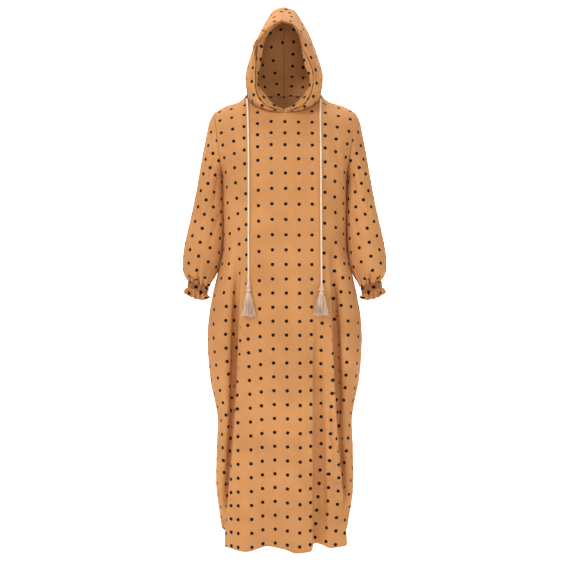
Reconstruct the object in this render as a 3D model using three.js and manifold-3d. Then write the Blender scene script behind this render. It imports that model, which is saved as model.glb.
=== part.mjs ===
// A hooded abaya, worn and hollow: front, back, set-in bishop sleeves, smocked
// cuffs with a ruffle, a two-piece hood with a turned-in casing, and a
// drawcord with two tassels.
//
// Millimetres, +Z up. The front faces -Y and the wearer's left is +X. The
// origin lies between the shoulders at the base of the neck, where the wearer
// holds the garment up.

import * as THREE from 'three';
import { mergeVertices } from 'three/addons/utils/BufferGeometryUtils.js';
import Module from 'manifold-3d';

const wasm = await Module();
wasm.setup();

// ---------------------------------------------------------------- sizes

const WALL = 2;                 // thickness of every cloth wall
const SEAM_GAP = 0.3;           // space between two pieces at a seam
const HALF_GAP = SEAM_GAP / 2;

const UNDERARM = { x: 190, z: -232 };       // lowest point of the armhole
const SHOULDER = { x: 217, z: -30 };        // highest point of the armhole
const ARMHOLE_HALF_DEPTH = 68;              // front to back, half
const ARMHOLE_STEPS = 8;                    // edges of the armhole's front, and of its back
const NECK_SHARE = 0.6;                     // neck's share of a panel's top edge

const SIDES = [
  { side: 'left', sign: 1 },
  { side: 'right', sign: -1 },
];

const TAN = 0xd9995c;
const TAN_SHADE = 0xc98a50;
const CREAM = 0xeadcc0;
const BEIGE = 0xd6b596;

// Level sections of the body: half width, reach to the front and to the back,
// and the exponent of the rounded outline (2 is an ellipse, more is boxier).
const BODY_LEVELS = [
  { z: -232, halfWidth: 190, front: 115, back: 108, square: 2.9 },
  { z: -300, halfWidth: 190, front: 118, back: 110, square: 2.7 },
  { z: -400, halfWidth: 189.5, front: 122, back: 113, square: 2.5 },
  { z: -450, halfWidth: 191, front: 125, back: 116, square: 2.45 },
  { z: -500, halfWidth: 200, front: 127, back: 118, square: 2.4 },
  { z: -568, halfWidth: 216, front: 131, back: 122, square: 2.35 },
  { z: -615, halfWidth: 226, front: 134, back: 126, square: 2.3 },
  { z: -677, halfWidth: 235.5, front: 137, back: 130, square: 2.3 },
  { z: -739, halfWidth: 238.5, front: 140, back: 134, square: 2.3 },
  { z: -802, halfWidth: 235.5, front: 142, back: 138, square: 2.3 },
  { z: -864, halfWidth: 229.5, front: 143, back: 140, square: 2.3 },
  { z: -927, halfWidth: 216.5, front: 144, back: 142, square: 2.4 },
  { z: -989, halfWidth: 207.5, front: 146, back: 143, square: 2.5 },
  { z: -1051, halfWidth: 210, front: 148, back: 144, square: 2.6 },
  { z: -1114, halfWidth: 212, front: 150, back: 145, square: 2.6 },
  { z: -1176, halfWidth: 213, front: 151, back: 145, square: 2.6 },
  { z: -1239, halfWidth: 207.5, front: 152, back: 145, square: 2.7 },
  { z: -1301, halfWidth: 198.5, front: 153, back: 144, square: 2.9 },
  { z: -1370, halfWidth: 188, front: 154, back: 143, square: 3.1 },
];

// Long vertical folds. Each runs from (xTop, zTop), where it starts, to
// (xHem) at the hem; it is at its full depth from zFull down. A positive depth
// is a trough. Its crest leans over the trough by lean, towards the nearer side.
const FRONT_FOLDS = [
  { xTop: -136, xHem: -184, zTop: -430, zFull: -640, depth: 30, width: 17, lean: 9 },
  { xTop: 146, xHem: 190, zTop: -400, zFull: -640, depth: 28, width: 17, lean: 9 },
  { xTop: 97, xHem: 103, zTop: -620, zFull: -1250, depth: 32, width: 13, lean: -5 },
  { xTop: -52, xHem: -50, zTop: -900, zFull: -1360, depth: 10, width: 26, lean: 0 },
  { xTop: 40, xHem: 40, zTop: -900, zFull: -1360, depth: -7, width: 26, lean: 0 },
  { xTop: -118, xHem: -122, zTop: -800, zFull: -1360, depth: -7, width: 24, lean: 0 },
];
const BACK_FOLDS = [
  { xTop: -140, xHem: -180, zTop: -420, zFull: -660, depth: 27, width: 18, lean: 8 },
  { xTop: 138, xHem: 178, zTop: -440, zFull: -640, depth: 29, width: 18, lean: 8 },
  { xTop: -70, xHem: -82, zTop: -600, zFull: -1250, depth: 22, width: 15, lean: 4 },
  { xTop: 62, xHem: 70, zTop: -700, zFull: -1300, depth: 16, width: 17, lean: 3 },
  { xTop: -8, xHem: -6, zTop: -820, zFull: -1360, depth: -10, width: 30, lean: 0 },
];

// Hem heights: at the middle of the panel and at the side seams, and how late
// the curve rises to the seams.
const HEM = { front: -1366, back: -1352, side: -1328, rise: 5 };
const FOLD_FADE = 0.88;           // share of a panel's half width where its folds fade out
const CHEST_HEART = -70;          // top of the axis that the panels' walls face away from

// The shoulder seam from the neck (first row) to the armhole (last row).
const SHOULDER_SEAM = [
  { along: 0, x: 117, y: 5, z: 27 },
  { along: 0.14, x: 125, y: 4, z: 12 },
  { along: 0.3, x: 139, y: 3, z: 0 },
  { along: 0.65, x: 178, y: 1, z: -11 },
  { along: 1, x: SHOULDER.x, y: 0, z: SHOULDER.z },
];

// Rings of a sleeve: the ring's point nearest the body and the one furthest
// out, its half depth, how far it swings forward, and the height of the soft
// folds that gather it into the cuff.
const SLEEVE_RINGS = [
  { inX: 190, inZ: -232, outX: 217, outZ: -30, depth: 68, forward: 0, gather: 0 },
  { inX: 192.5, inZ: -239, outX: 231, outZ: -56, depth: 66, forward: 0, gather: 0 },
  { inX: 194.5, inZ: -245, outX: 242, outZ: -106, depth: 62, forward: 2, gather: 0 },
  { inX: 196, inZ: -252, outX: 253, outZ: -162, depth: 58, forward: 4, gather: 0 },
  { inX: 196.5, inZ: -270, outX: 264, outZ: -226, depth: 55, forward: 7, gather: 0 },
  { inX: 196, inZ: -312, outX: 277, outZ: -300, depth: 55, forward: 10, gather: 0 },
  { inX: 195.5, inZ: -362, outX: 291, outZ: -366, depth: 58, forward: 13, gather: 1 },
  { inX: 197, inZ: -415, outX: 304, outZ: -422, depth: 62, forward: 15, gather: 1.5 },
  { inX: 200, inZ: -465, outX: 312.5, outZ: -472, depth: 65, forward: 17, gather: 2 },
  { inX: 209, inZ: -510, outX: 314.5, outZ: -512, depth: 63, forward: 18, gather: 3 },
  { inX: 220, inZ: -543, outX: 309, outZ: -536, depth: 53, forward: 18, gather: 4 },
  { inX: 229, inZ: -564, outX: 300, outZ: -546, depth: 40, forward: 18, gather: 3.5 },
  { inX: 232.5, inZ: -573, outX: 295.5, outZ: -550, depth: 33, forward: 18, gather: 0 },
];
const SLEEVE_GATHERS = 8;

// Rings of a cuff, from the sleeve down: the smocked band, then the ruffle.
// smock is the height of the puckers, flute that of the ruffle's waves.
const CUFF_RINGS = [
  { inX: 232.8, inZ: -573.6, outX: 295.7, outZ: -550.6, depth: 33, smock: 0, flute: 0 },
  { inX: 234, inZ: -578, outX: 296.4, outZ: -555.5, depth: 32.5, smock: 1.3, flute: 0 },
  { inX: 235.6, inZ: -583, outX: 296.4, outZ: -560.5, depth: 32, smock: -1.3, flute: 0 },
  { inX: 237, inZ: -588, outX: 296.6, outZ: -565.5, depth: 31.5, smock: 1.3, flute: 0 },
  { inX: 238.4, inZ: -593, outX: 296.8, outZ: -570.5, depth: 31, smock: -1.3, flute: 0 },
  { inX: 239.6, inZ: -597, outX: 297.4, outZ: -575, depth: 31, smock: 0, flute: 1 },
  { inX: 238.5, inZ: -603, outX: 303, outZ: -583, depth: 34, smock: 0, flute: 3.4 },
  { inX: 236.5, inZ: -610.5, outX: 305.5, outZ: -594, depth: 36, smock: 0, flute: 4.6 },
];
const CUFF_FLUTES = 14;
const STEPS_PER_FLUTE = 3;
const CUFF_FORWARD = 18;

// Rows of the hood, from the neck seam (share 0) up to the crown seam
// (share 1). Each row runs from the face edge round the side to the back seam.
const HOOD_ROWS = [
  { share: 0, edgeLeft: 0, edgeRight: 0, edgeY: -84, edgeZ: -41, sideX: 117, sideY: 5, sideZ: 27, backY: 70, backZ: 31 },
  { share: 0.05, edgeLeft: 30, edgeRight: 26, edgeY: -97, edgeZ: -35, sideX: 116, sideY: 4, sideZ: 36, backY: 76, backZ: 44 },
  { share: 0.1, edgeLeft: 55, edgeRight: 52, edgeY: -100, edgeZ: -27, sideX: 117, sideY: 3, sideZ: 45, backY: 83, backZ: 57 },
  { share: 0.15, edgeLeft: 70, edgeRight: 69, edgeY: -102, edgeZ: -13, sideX: 119, sideY: 2, sideZ: 54, backY: 90, backZ: 69 },
  { share: 0.2, edgeLeft: 80, edgeRight: 81, edgeY: -103, edgeZ: 4, sideX: 121, sideY: 1, sideZ: 63, backY: 98, backZ: 82 },
  { share: 0.3, edgeLeft: 90, edgeRight: 89, edgeY: -103, edgeZ: 38, sideX: 121.5, sideY: 0, sideZ: 82, backY: 112, backZ: 107 },
  { share: 0.4, edgeLeft: 91, edgeRight: 89, edgeY: -102, edgeZ: 72, sideX: 118, sideY: 0, sideZ: 104, backY: 121, backZ: 134 },
  { share: 0.5, edgeLeft: 84, edgeRight: 87, edgeY: -100, edgeZ: 102, sideX: 111, sideY: 0, sideZ: 129, backY: 125, backZ: 160 },
  { share: 0.6, edgeLeft: 70, edgeRight: 88, edgeY: -98, edgeZ: 130, sideX: 102, sideY: 2, sideZ: 156, backY: 124, backZ: 186 },
  { share: 0.7, edgeLeft: 57, edgeRight: 90, edgeY: -95, edgeZ: 157, sideX: 92, sideY: 4, sideZ: 184, backY: 118, backZ: 212 },
  { share: 0.8, edgeLeft: 45, edgeRight: 66, edgeY: -93, edgeZ: 187, sideX: 76, sideY: 5, sideZ: 221, backY: 106, backZ: 238 },
  { share: 0.9, edgeLeft: 25, edgeRight: 38, edgeY: -89, edgeZ: 214, sideX: 52, sideY: 7, sideZ: 260, backY: 86, backZ: 262 },
  { share: 1, edgeLeft: 0, edgeRight: 0, edgeY: -85, edgeZ: 240, sideX: 0, sideY: 8, sideZ: 298, backY: 58, backZ: 284 },
];
// The peak of the face edge lies off centre; the shift fades down and back.
const PEAK = { shift: -8, bottom: 150, height: 90, back: -10, depth: 70 };
const HOOD_HEART = new THREE.Vector3(0, 0, 110);        // middle of the hood's hollow
const NECK_LIFT = 0.6;            // between the neck edge and the hood, across the mitre
const NECK_SLOPE = { middle: 0.15, shoulder: 0.9, thinning: 0.2 };   // of the neck's edge

// Inner edge of the casing that is turned in along the face edge.
const CASING_GAP = 0.8;           // between the hood's wall and its turned-in casing
const CASING_THROAT = new THREE.Vector3(0, 3.5, 4);     // from the hood's lowest point
const CASING_HEART = { ahead: 90, z: 100 };             // the casing's wall faces away from it
const CASING_ROWS = [
  { share: 0, innerLeft: 1, innerRight: 1, innerY: -74, innerZ: -29 },
  { share: 0.05, innerLeft: 18, innerRight: 16, innerY: -77, innerZ: -24 },
  { share: 0.1, innerLeft: 34, innerRight: 32, innerY: -77, innerZ: -14 },
  { share: 0.15, innerLeft: 49, innerRight: 47, innerY: -76, innerZ: 0 },
  { share: 0.2, innerLeft: 63, innerRight: 59, innerY: -73, innerZ: 18 },
  { share: 0.25, innerLeft: 74, innerRight: 72, innerY: -74, innerZ: 34 },
  { share: 0.35, innerLeft: 78, innerRight: 80, innerY: -78, innerZ: 58 },
  { share: 0.5, innerLeft: 63, innerRight: 71, innerY: -77, innerZ: 104 },
  { share: 0.6, innerLeft: 54, innerRight: 65, innerY: -76, innerZ: 131 },
  { share: 0.7, innerLeft: 45, innerRight: 56, innerY: -74, innerZ: 158 },
  { share: 0.8, innerLeft: 34, innerRight: 42, innerY: -72, innerZ: 186 },
  { share: 0.9, innerLeft: 17, innerRight: 22, innerY: -69, innerZ: 213 },
  { share: 1, innerLeft: 0, innerRight: 0, innerY: -65, innerZ: 236 },
];

// ---------------------------------------------------------------- helpers

const lerp = (a, b, t) => a + (b - a) * t;
const clamp01 = (t) => Math.min(1, Math.max(0, t));
const smooth = (t) => clamp01(t) ** 2 * (3 - 2 * clamp01(t));
const bell = (t) => Math.exp(-t * t);
const quarterTurn = (t) => (t * Math.PI) / 2;

// Smooth value of one named column of a table, at a place on its key column.
function fromTable(table, key, at, column) {
  const ascending = table[0][key] < table.at(-1)[key];
  const rows = ascending ? table : [...table].reverse();
  const last = rows.length - 1;
  const place = Math.min(rows[last][key], Math.max(rows[0][key], at));
  let i = 0;
  while (i < last - 1 && place > rows[i + 1][key]) i += 1;
  const slope = (a, b) => (rows[b][column] - rows[a][column]) / (rows[b][key] - rows[a][key]);
  const tangent = (k) => {
    if (k === 0) return slope(0, 1);
    if (k === last) return slope(last - 1, last);
    const before = slope(k - 1, k);
    const after = slope(k, k + 1);
    if (before * after <= 0) return 0;
    return (2 * before * after) / (before + after);
  };
  const step = rows[i + 1][key] - rows[i][key];
  const t = (place - rows[i][key]) / step;
  const h1 = t * t * (3 - 2 * t);
  const h2 = t * (1 - t) ** 2 * step;
  const h3 = t * t * (t - 1) * step;
  return lerp(rows[i][column], rows[i + 1][column], h1) + h2 * tangent(i) + h3 * tangent(i + 1);
}

// Normals of a grid of points, turned away from the inside that insideOf gives.
function gridNormals(grid, round, insideOf) {
  const rows = grid.length;
  const columns = grid[0].length;
  const pick = (j, i) => {
    const jj = Math.min(rows - 1, Math.max(0, j));
    const ii = round ? (i + columns) % columns : Math.min(columns - 1, Math.max(0, i));
    return grid[jj][ii];
  };
  return grid.map((row, j) => row.map((point, i) => {
    const across = new THREE.Vector3().subVectors(pick(j, i + 1), pick(j, i - 1));
    const along = new THREE.Vector3().subVectors(pick(j + 1, i), pick(j - 1, i));
    const normal = across.cross(along).normalize();
    const outward = new THREE.Vector3().subVectors(point, insideOf(point));
    return normal.dot(outward) < 0 ? normal.negate() : normal;
  }));
}

// A closed wall between a grid of outer points and the same grid moved by
// inward, with the free edges closed. A round grid joins its last column to its first.
function wallGeometry(outer, inner, round) {
  const rows = outer.length;
  const columns = outer[0].length;
  const positions = [];
  for (const grid of [outer, inner]) {
    for (const row of grid) for (const p of row) positions.push(p.x, p.y, p.z);
  }
  const at = (layer, j, i) => layer * rows * columns + j * columns + (i % columns);
  const faces = [];
  const quad = (a, b, c, d) => faces.push(a, b, c, a, c, d);
  const spans = round ? columns : columns - 1;
  for (let j = 0; j < rows - 1; j += 1) {
    for (let i = 0; i < spans; i += 1) {
      quad(at(0, j, i), at(0, j, i + 1), at(0, j + 1, i + 1), at(0, j + 1, i));
      quad(at(1, j, i), at(1, j + 1, i), at(1, j + 1, i + 1), at(1, j, i + 1));
    }
  }
  for (let i = 0; i < spans; i += 1) {
    quad(at(0, 0, i), at(1, 0, i), at(1, 0, i + 1), at(0, 0, i + 1));
    quad(at(0, rows - 1, i), at(0, rows - 1, i + 1), at(1, rows - 1, i + 1), at(1, rows - 1, i));
  }
  if (!round) {
    for (let j = 0; j < rows - 1; j += 1) {
      quad(at(0, j, 0), at(0, j + 1, 0), at(1, j + 1, 0), at(1, j, 0));
      const c = columns - 1;
      quad(at(0, j, c), at(1, j, c), at(1, j + 1, c), at(0, j + 1, c));
    }
  }
  return outwardGeometry(positions, faces);
}

// Geometry of a closed body, its faces turned outwards.
function outwardGeometry(positions, faces) {
  const corner = (k) => new THREE.Vector3(...positions.slice(3 * k, 3 * k + 3));
  let volume = 0;
  for (let k = 0; k < faces.length; k += 3) {
    const [a, b, c] = [corner(faces[k]), corner(faces[k + 1]), corner(faces[k + 2])];
    volume += a.dot(b.cross(c));
  }
  if (volume < 0) {
    for (let k = 0; k < faces.length; k += 3) {
      [faces[k + 1], faces[k + 2]] = [faces[k + 2], faces[k + 1]];
    }
  }
  const geometry = new THREE.BufferGeometry();
  geometry.setAttribute('position', new THREE.Float32BufferAttribute(positions, 3));
  geometry.setIndex(faces);
  geometry.computeVertexNormals();
  return geometry;
}

function piece(name, geometry, colour, roughness = 0.9) {
  const material = new THREE.MeshStandardMaterial({ color: colour, roughness, metalness: 0 });
  const mesh = new THREE.Mesh(geometry, material);
  mesh.name = name;
  return mesh;
}

// Cloth from its outer points, parted along the grid rows in cuts, with one
// name for each part; edgeOffset may replace the inward offset at a grid
// point, which mitres a wall where it meets its neighbour.
function clothParts(names, cuts, grid, round, insideOf, edgeOffset, colour) {
  const normals = gridNormals(grid, round, insideOf);
  const inner = grid.map((row, j) => row.map((point, i) => {
    const normal = normals[j][i];
    const offset = edgeOffset(j, i, normal) ?? normal.clone().multiplyScalar(-WALL);
    return point.clone().add(offset);
  }));
  const ends = [0, ...cuts, grid.length - 1];
  return names.map((name, k) => {
    const part = (layer) => layer.slice(ends[k], ends[k + 1] + 1).map((row, j, rows) => {
      let lift = 0;
      if (k > 0 && j === 0) lift = HALF_GAP;
      if (k < names.length - 1 && j === rows.length - 1) lift = -HALF_GAP;
      return row.map((point) => point.clone().setZ(point.z + lift));
    });
    return piece(name, wallGeometry(part(grid), part(inner), round), colour);
  });
}

function cloth(name, ...rest) {
  return clothParts([name], [], ...rest)[0];
}

// Offset of a wall's edge kept in the plane square to one axis.
function offsetSquareTo(axis, normal) {
  const flat = normal.clone();
  flat[axis] = 0;
  return flat.normalize().multiplyScalar(-WALL);
}

// ---------------------------------------------------------------- body

// The front is parted at the hips and at the underarm, so that each solid has a simple form.
const PANELS = {
  front: {
    toward: -1, folds: FRONT_FOLDS, columns: 37, rowsBelow: 14, rowsAbove: ARMHOLE_STEPS + 1,
    names: ['front_panel_skirt', 'front_panel_waist', 'front_panel_chest'], cuts: [7, 14],
  },
  back: {
    toward: 1, folds: BACK_FOLDS, columns: 29, rowsBelow: 13, rowsAbove: ARMHOLE_STEPS + 1,
    names: ['back_panel'], cuts: [],
  },
};
const OUTLINE_STEPS = 48;

// Point of the plain section at height z, at share u of the way from the
// middle of the panel (0) to a side seam (+1 or -1), measured along the cloth.
function sectionPoint(side, u, z) {
  const halfWidth = fromTable(BODY_LEVELS, 'z', z, 'halfWidth');
  const reach = fromTable(BODY_LEVELS, 'z', z, side);
  const power = 2 / fromTable(BODY_LEVELS, 'z', z, 'square');
  const outline = [];
  let length = 0;
  for (let k = 0; k <= OUTLINE_STEPS; k += 1) {
    const turn = quarterTurn(k / OUTLINE_STEPS);
    const x = halfWidth * Math.sin(turn) ** power;
    const y = reach * Math.max(0, Math.cos(turn)) ** power;
    if (k > 0) length += Math.hypot(x - outline[k - 1].x, y - outline[k - 1].y);
    outline.push({ x, y, length });
  }
  const target = Math.abs(u) * length;
  let k = 1;
  while (k < OUTLINE_STEPS && outline[k].length < target) k += 1;
  const span = outline[k].length - outline[k - 1].length;
  const t = clamp01((target - outline[k - 1].length) / span);
  const x = Math.sign(u) * lerp(outline[k - 1].x, outline[k].x, t);
  const y = PANELS[side].toward * lerp(outline[k - 1].y, outline[k].y, t);
  const slopeX = outline[k].y - outline[k - 1].y;
  const slopeY = outline[k].x - outline[k - 1].x;
  const size = Math.hypot(slopeX, slopeY);
  const normal = { x: (-Math.sign(u) * slopeX) / size, y: (PANELS[side].toward * slopeY) / size };
  return { x, y, normal };
}

// The folds' push at a point of the section: a trough or ridge along the
// section's normal, and a lean of the crest across it.
function foldShift(side, point, z) {
  let push = 0;
  let lean = 0;
  for (const fold of PANELS[side].folds) {
    const down = clamp01((fold.zTop - z) / (fold.zTop - HEM[side]));
    const strength = smooth((fold.zTop - z) / (fold.zTop - fold.zFull));
    const line = lerp(fold.xTop, fold.xHem, down);
    const outside = Math.sign(line);
    push -= fold.depth * strength * bell((point.x - line) / fold.width);
    const crest = line - outside * fold.width;
    lean += outside * fold.lean * strength * bell((point.x - crest) / fold.width);
  }
  return { push, lean };
}

// A point of the body below the underarm.
function lowerPoint(side, u, z) {
  const plain = sectionPoint(side, u, z);
  const fade = 1 - smooth((Math.abs(u) - FOLD_FADE) / (1 - FOLD_FADE));
  const { push, lean } = foldShift(side, plain, z);
  return new THREE.Vector3(
    plain.x + fade * (push * plain.normal.x + lean),
    plain.y + fade * push * plain.normal.y,
    z,
  );
}

// The neck seam: share 0 at the middle front, 0.5 at the shoulder, 1 at the back.
const neckPoint = (sign, share) => hoodPoint(sign, share, 0);

// A point of the panel's top edge: the neck seam, then the shoulder seam.
function topPoint(side, u) {
  const sign = Math.sign(u) || 1;
  const share = Math.abs(u);
  if (share <= NECK_SHARE) {
    const round = (share / NECK_SHARE) * 0.5;
    return neckPoint(sign, side === 'front' ? round : 1 - round);
  }
  const along = (share - NECK_SHARE) / (1 - NECK_SHARE);
  const seam = (column) => fromTable(SHOULDER_SEAM, 'along', along, column);
  return new THREE.Vector3(sign * seam('x'), seam('y'), seam('z'));
}

// A point above the underarm: between the underarm's section and the top
// edge, and moved out so that its side edge follows the armhole.
function upperPoint(side, u, v) {
  const { toward } = PANELS[side];
  const bottom = lowerPoint(side, u, UNDERARM.z);
  const top = topPoint(side, u);
  const edgeRise = (1 - Math.cos(Math.PI * v)) / 2;
  const rise = lerp(v, edgeRise, u ** 4);
  const armhole = ARMHOLE_HALF_DEPTH * Math.sin(Math.PI * v);
  const depth = toward * lerp(bottom.y, top.y, rise * rise);
  const middle = toward * lerp(lowerPoint(side, 0, UNDERARM.z).y, topPoint(side, 0).y, v * v);
  return new THREE.Vector3(
    lerp(bottom.x, top.x, rise),
    toward * (armhole + depth * (1 - armhole / middle)),
    lerp(bottom.z, top.z, rise),
  );
}

// Inward offset of the cloth at the armhole, shared by the panels and the
// sleeve: turn 0 is the underarm, pi the shoulder, sine above 0 the front.
function armholeOffset(sign, turn) {
  const rise = new THREE.Vector3(sign * (SHOULDER.x - UNDERARM.x), 0, SHOULDER.z - UNDERARM.z);
  const halfHeight = rise.length() / 2;
  rise.normalize();
  const offset = rise.multiplyScalar(Math.cos(turn) * ARMHOLE_HALF_DEPTH);
  offset.y = Math.sin(turn) * halfHeight;
  offset.normalize().multiplyScalar(WALL);
  return offset;
}

// Inward offset at the neck seam, shared by the panels and the hood: half way
// between the two walls, level at the throat and the nape, sloping at the shoulders.
function neckOffset(point) {
  const inward = new THREE.Vector3(-point.x, -point.y, 0).normalize();
  const slope = lerp(NECK_SLOPE.middle, NECK_SLOPE.shoulder, (point.x / SHOULDER_SEAM[0].x) ** 2);
  return inward.setZ(-slope).multiplyScalar(WALL * (1 - NECK_SLOPE.thinning * slope));
}

function bodyPanel(side) {
  const { toward, columns, rowsBelow, rowsAbove, names, cuts } = PANELS[side];
  const grid = [];
  for (let j = 0; j < rowsBelow + rowsAbove; j += 1) {
    const row = [];
    for (let i = 0; i < columns; i += 1) {
      const u = lerp(-1, 1, i / (columns - 1));
      if (j < rowsBelow) {
        const hem = lerp(HEM[side], HEM.side, Math.abs(u) ** HEM.rise);
        row.push(lowerPoint(side, u, lerp(hem, UNDERARM.z, j / rowsBelow)));
      } else {
        row.push(upperPoint(side, u, (j - rowsBelow) / (rowsAbove - 1)));
      }
    }
    grid.push(row);
  }
  for (const row of grid) for (const p of row) p.y += toward * HALF_GAP;
  const insideOf = (p) => new THREE.Vector3(0, 0, Math.min(p.z, CHEST_HEART));
  const edgeOffset = (j, i, normal) => {
    const u = lerp(-1, 1, i / (columns - 1));
    const v = (j - rowsBelow) / (rowsAbove - 1);
    const atSide = i === 0 || i === columns - 1;
    if (v === 1 && Math.abs(u) < NECK_SHARE + 1e-6) return neckOffset(grid[j][i]);
    if (v === 1 && !atSide) return offsetSquareTo('y', normal);
    if (!atSide) return null;
    if (v < 0) return offsetSquareTo('y', normal);
    const offset = armholeOffset(Math.sign(u), Math.PI * v);
    offset.y *= -toward;
    offset.x -= Math.sign(u) * WALL * Math.max(0, Math.cos(Math.PI * v)) ** 2;
    return offset;
  };
  return clothParts(names, cuts, grid, false, insideOf, edgeOffset, TAN);
}

// ---------------------------------------------------------------- sleeves and cuffs

// A ring round an arm: turn 0 is the point nearest the body, pi the furthest.
function armRing(sign, ring, forward, turn, push) {
  const middle = { x: (ring.inX + ring.outX) / 2, z: (ring.inZ + ring.outZ) / 2 };
  const half = { x: (ring.outX - ring.inX) / 2, z: (ring.outZ - ring.inZ) / 2 };
  const halfWidth = Math.hypot(half.x, half.z);
  const across = -Math.cos(turn) * (1 + push / halfWidth);
  const deep = -Math.sin(turn) * (ring.depth + push) - forward;
  return new THREE.Vector3(
    sign * (middle.x + half.x * across),
    deep,
    middle.z + half.z * across,
  );
}

const armAxis = (grid) => (p) => {
  let best = null;
  for (const row of grid) {
    const centre = row.reduce((sum, q) => sum.add(q), new THREE.Vector3()).divideScalar(row.length);
    if (!best || centre.distanceTo(p) < best.distanceTo(p)) best = centre;
  }
  return best;
};

function sleeve({ side, sign }) {
  const columns = 4 * ARMHOLE_STEPS;
  const grid = SLEEVE_RINGS.map((ring) => Array.from({ length: columns }, (_, i) => {
    const turn = (2 * Math.PI * i) / columns;
    const gathered = ring.gather * Math.cos(SLEEVE_GATHERS * turn + Math.PI / 2);
    return armRing(sign, ring, ring.forward, turn, gathered);
  }));
  const offsets = grid[0].map((_, i) => armholeOffset(sign, (2 * Math.PI * i) / columns));
  for (const list of [grid[0], offsets]) {
    for (let i = 1; i < columns; i += 2) list[i].lerpVectors(list[i - 1], list[(i + 1) % columns], 0.5);
  }
  for (const p of grid[0]) p.x += sign * SEAM_GAP;
  const edgeOffset = (j, i) => (j === 0 ? offsets[i] : null);
  return cloth(`sleeve_${side}`, grid, true, armAxis(grid), edgeOffset, TAN);
}

function cuff({ side, sign }) {
  const columns = CUFF_FLUTES * STEPS_PER_FLUTE;
  const ringPoints = (relief) => CUFF_RINGS.map((ring) => Array.from({ length: columns }, (_, i) => {
    const turn = (2 * Math.PI * i) / columns;
    const wave = Math.cos(CUFF_FLUTES * turn);
    const pucker = relief * ring.smock * wave;
    return armRing(sign, ring, CUFF_FORWARD, turn, ring.flute * wave + pucker);
  }));
  const outer = ringPoints(1);
  const plain = ringPoints(0);
  const normals = gridNormals(plain, true, armAxis(plain));
  const inner = plain.map((row, j) => row.map((p, i) => p.clone().addScaledVector(normals[j][i], -WALL)));
  return piece(`cuff_${side}`, wallGeometry(outer, inner, true), TAN_SHADE);
}

// ---------------------------------------------------------------- hood

const HOOD_COLUMNS = 13;
const CASING_COLUMNS = 4;

function hoodEdge(sign, share) {
  const value = (column) => fromTable(HOOD_ROWS, 'share', share, column);
  const x = value(sign > 0 ? 'edgeLeft' : 'edgeRight');
  return new THREE.Vector3(x, value('edgeY'), value('edgeZ'));
}

// How far the drawn-aside peak of the face edge takes a point of the hood with it.
function peakShift(point) {
  const high = smooth((point.z - PEAK.bottom) / PEAK.height);
  const forward = smooth((PEAK.back - point.y) / PEAK.depth);
  return PEAK.shift * high * forward;
}

// A point of the hood: round 0 at the face edge, 0.5 at the side, 1 at the
// back seam; share 0 at the neck seam, 1 at the crown seam.
function hoodPoint(sign, round, share) {
  const value = (column) => fromTable(HOOD_ROWS, 'share', share, column);
  const edge = hoodEdge(sign, share);
  const side = new THREE.Vector3(value('sideX'), value('sideY'), value('sideZ'));
  const back = new THREE.Vector3(0, value('backY'), value('backZ'));
  const point = new THREE.Vector3();
  if (round < 0.5) {
    const turn = quarterTurn(round * 2);
    point.x = lerp(edge.x, side.x, Math.sin(turn));
    point.y = lerp(side.y, edge.y, Math.cos(turn));
    point.z = lerp(edge.z, side.z, 1 - Math.cos(turn));
  } else {
    const turn = quarterTurn(round * 2 - 1);
    point.x = side.x * Math.cos(turn);
    point.y = lerp(side.y, back.y, Math.sin(turn));
    point.z = lerp(side.z, back.z, Math.sin(turn));
  }
  point.x *= sign;
  point.x += peakShift(point);
  return point;
}

// Outer points of a hood half and the inward offset of its wall at each.
function hoodWall(sign) {
  const grid = HOOD_ROWS.map(({ share }) => Array.from({ length: HOOD_COLUMNS }, (_, i) => (
    hoodPoint(sign, i / (HOOD_COLUMNS - 1), share))));
  const normals = gridNormals(grid, false, () => HOOD_HEART);
  const offsets = grid.map((row, j) => row.map((point, i) => {
    if (j === 0) return neckOffset(point);
    const onSeam = j === grid.length - 1 || i === HOOD_COLUMNS - 1;
    if (onSeam) return offsetSquareTo('x', normals[j][i]);
    return normals[j][i].clone().multiplyScalar(-WALL);
  }));
  grid[0].forEach((point, i) => {
    const lift = offsets[0][i].clone().setZ(-offsets[0][i].z).normalize();
    point.addScaledVector(lift, NECK_LIFT);
  });
  for (const row of grid) for (const point of row) point.x += sign * HALF_GAP;
  return { grid, offsets };
}

function hoodHalf({ side, sign }) {
  const { grid, offsets } = hoodWall(sign);
  return cloth(`hood_${side}`, grid, false, () => HOOD_HEART, (j, i) => offsets[j][i], TAN);
}

// The turned-in casing starts behind the hood's face edge and runs inwards.
function casing({ side, sign }) {
  const wall = hoodWall(sign);
  const grid = HOOD_ROWS.map(({ share }, j) => {
    const value = (column) => fromTable(CASING_ROWS, 'share', share, column);
    const fold = wall.grid[j][0].clone();
    if (j === 0) fold.add(CASING_THROAT);
    else fold.addScaledVector(wall.offsets[j][0], 1 + CASING_GAP / WALL);
    const innerX = value(sign > 0 ? 'innerLeft' : 'innerRight');
    const inner = new THREE.Vector3(sign * (innerX + HALF_GAP), value('innerY'), value('innerZ'));
    inner.x += peakShift(inner);
    return Array.from({ length: CASING_COLUMNS }, (_, i) => (
      fold.clone().lerp(inner, i / (CASING_COLUMNS - 1))));
  });
  const facing = (point) => new THREE.Vector3(0, point.y - CASING_HEART.ahead, CASING_HEART.z);
  const edgeOffset = (j, i, normal) => (
    j === 0 || j === grid.length - 1 ? offsetSquareTo('x', normal) : null);
  return cloth(`hood_casing_${side}`, grid, false, facing, edgeOffset, TAN_SHADE);
}

// ---------------------------------------------------------------- drawcord and tassels

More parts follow.
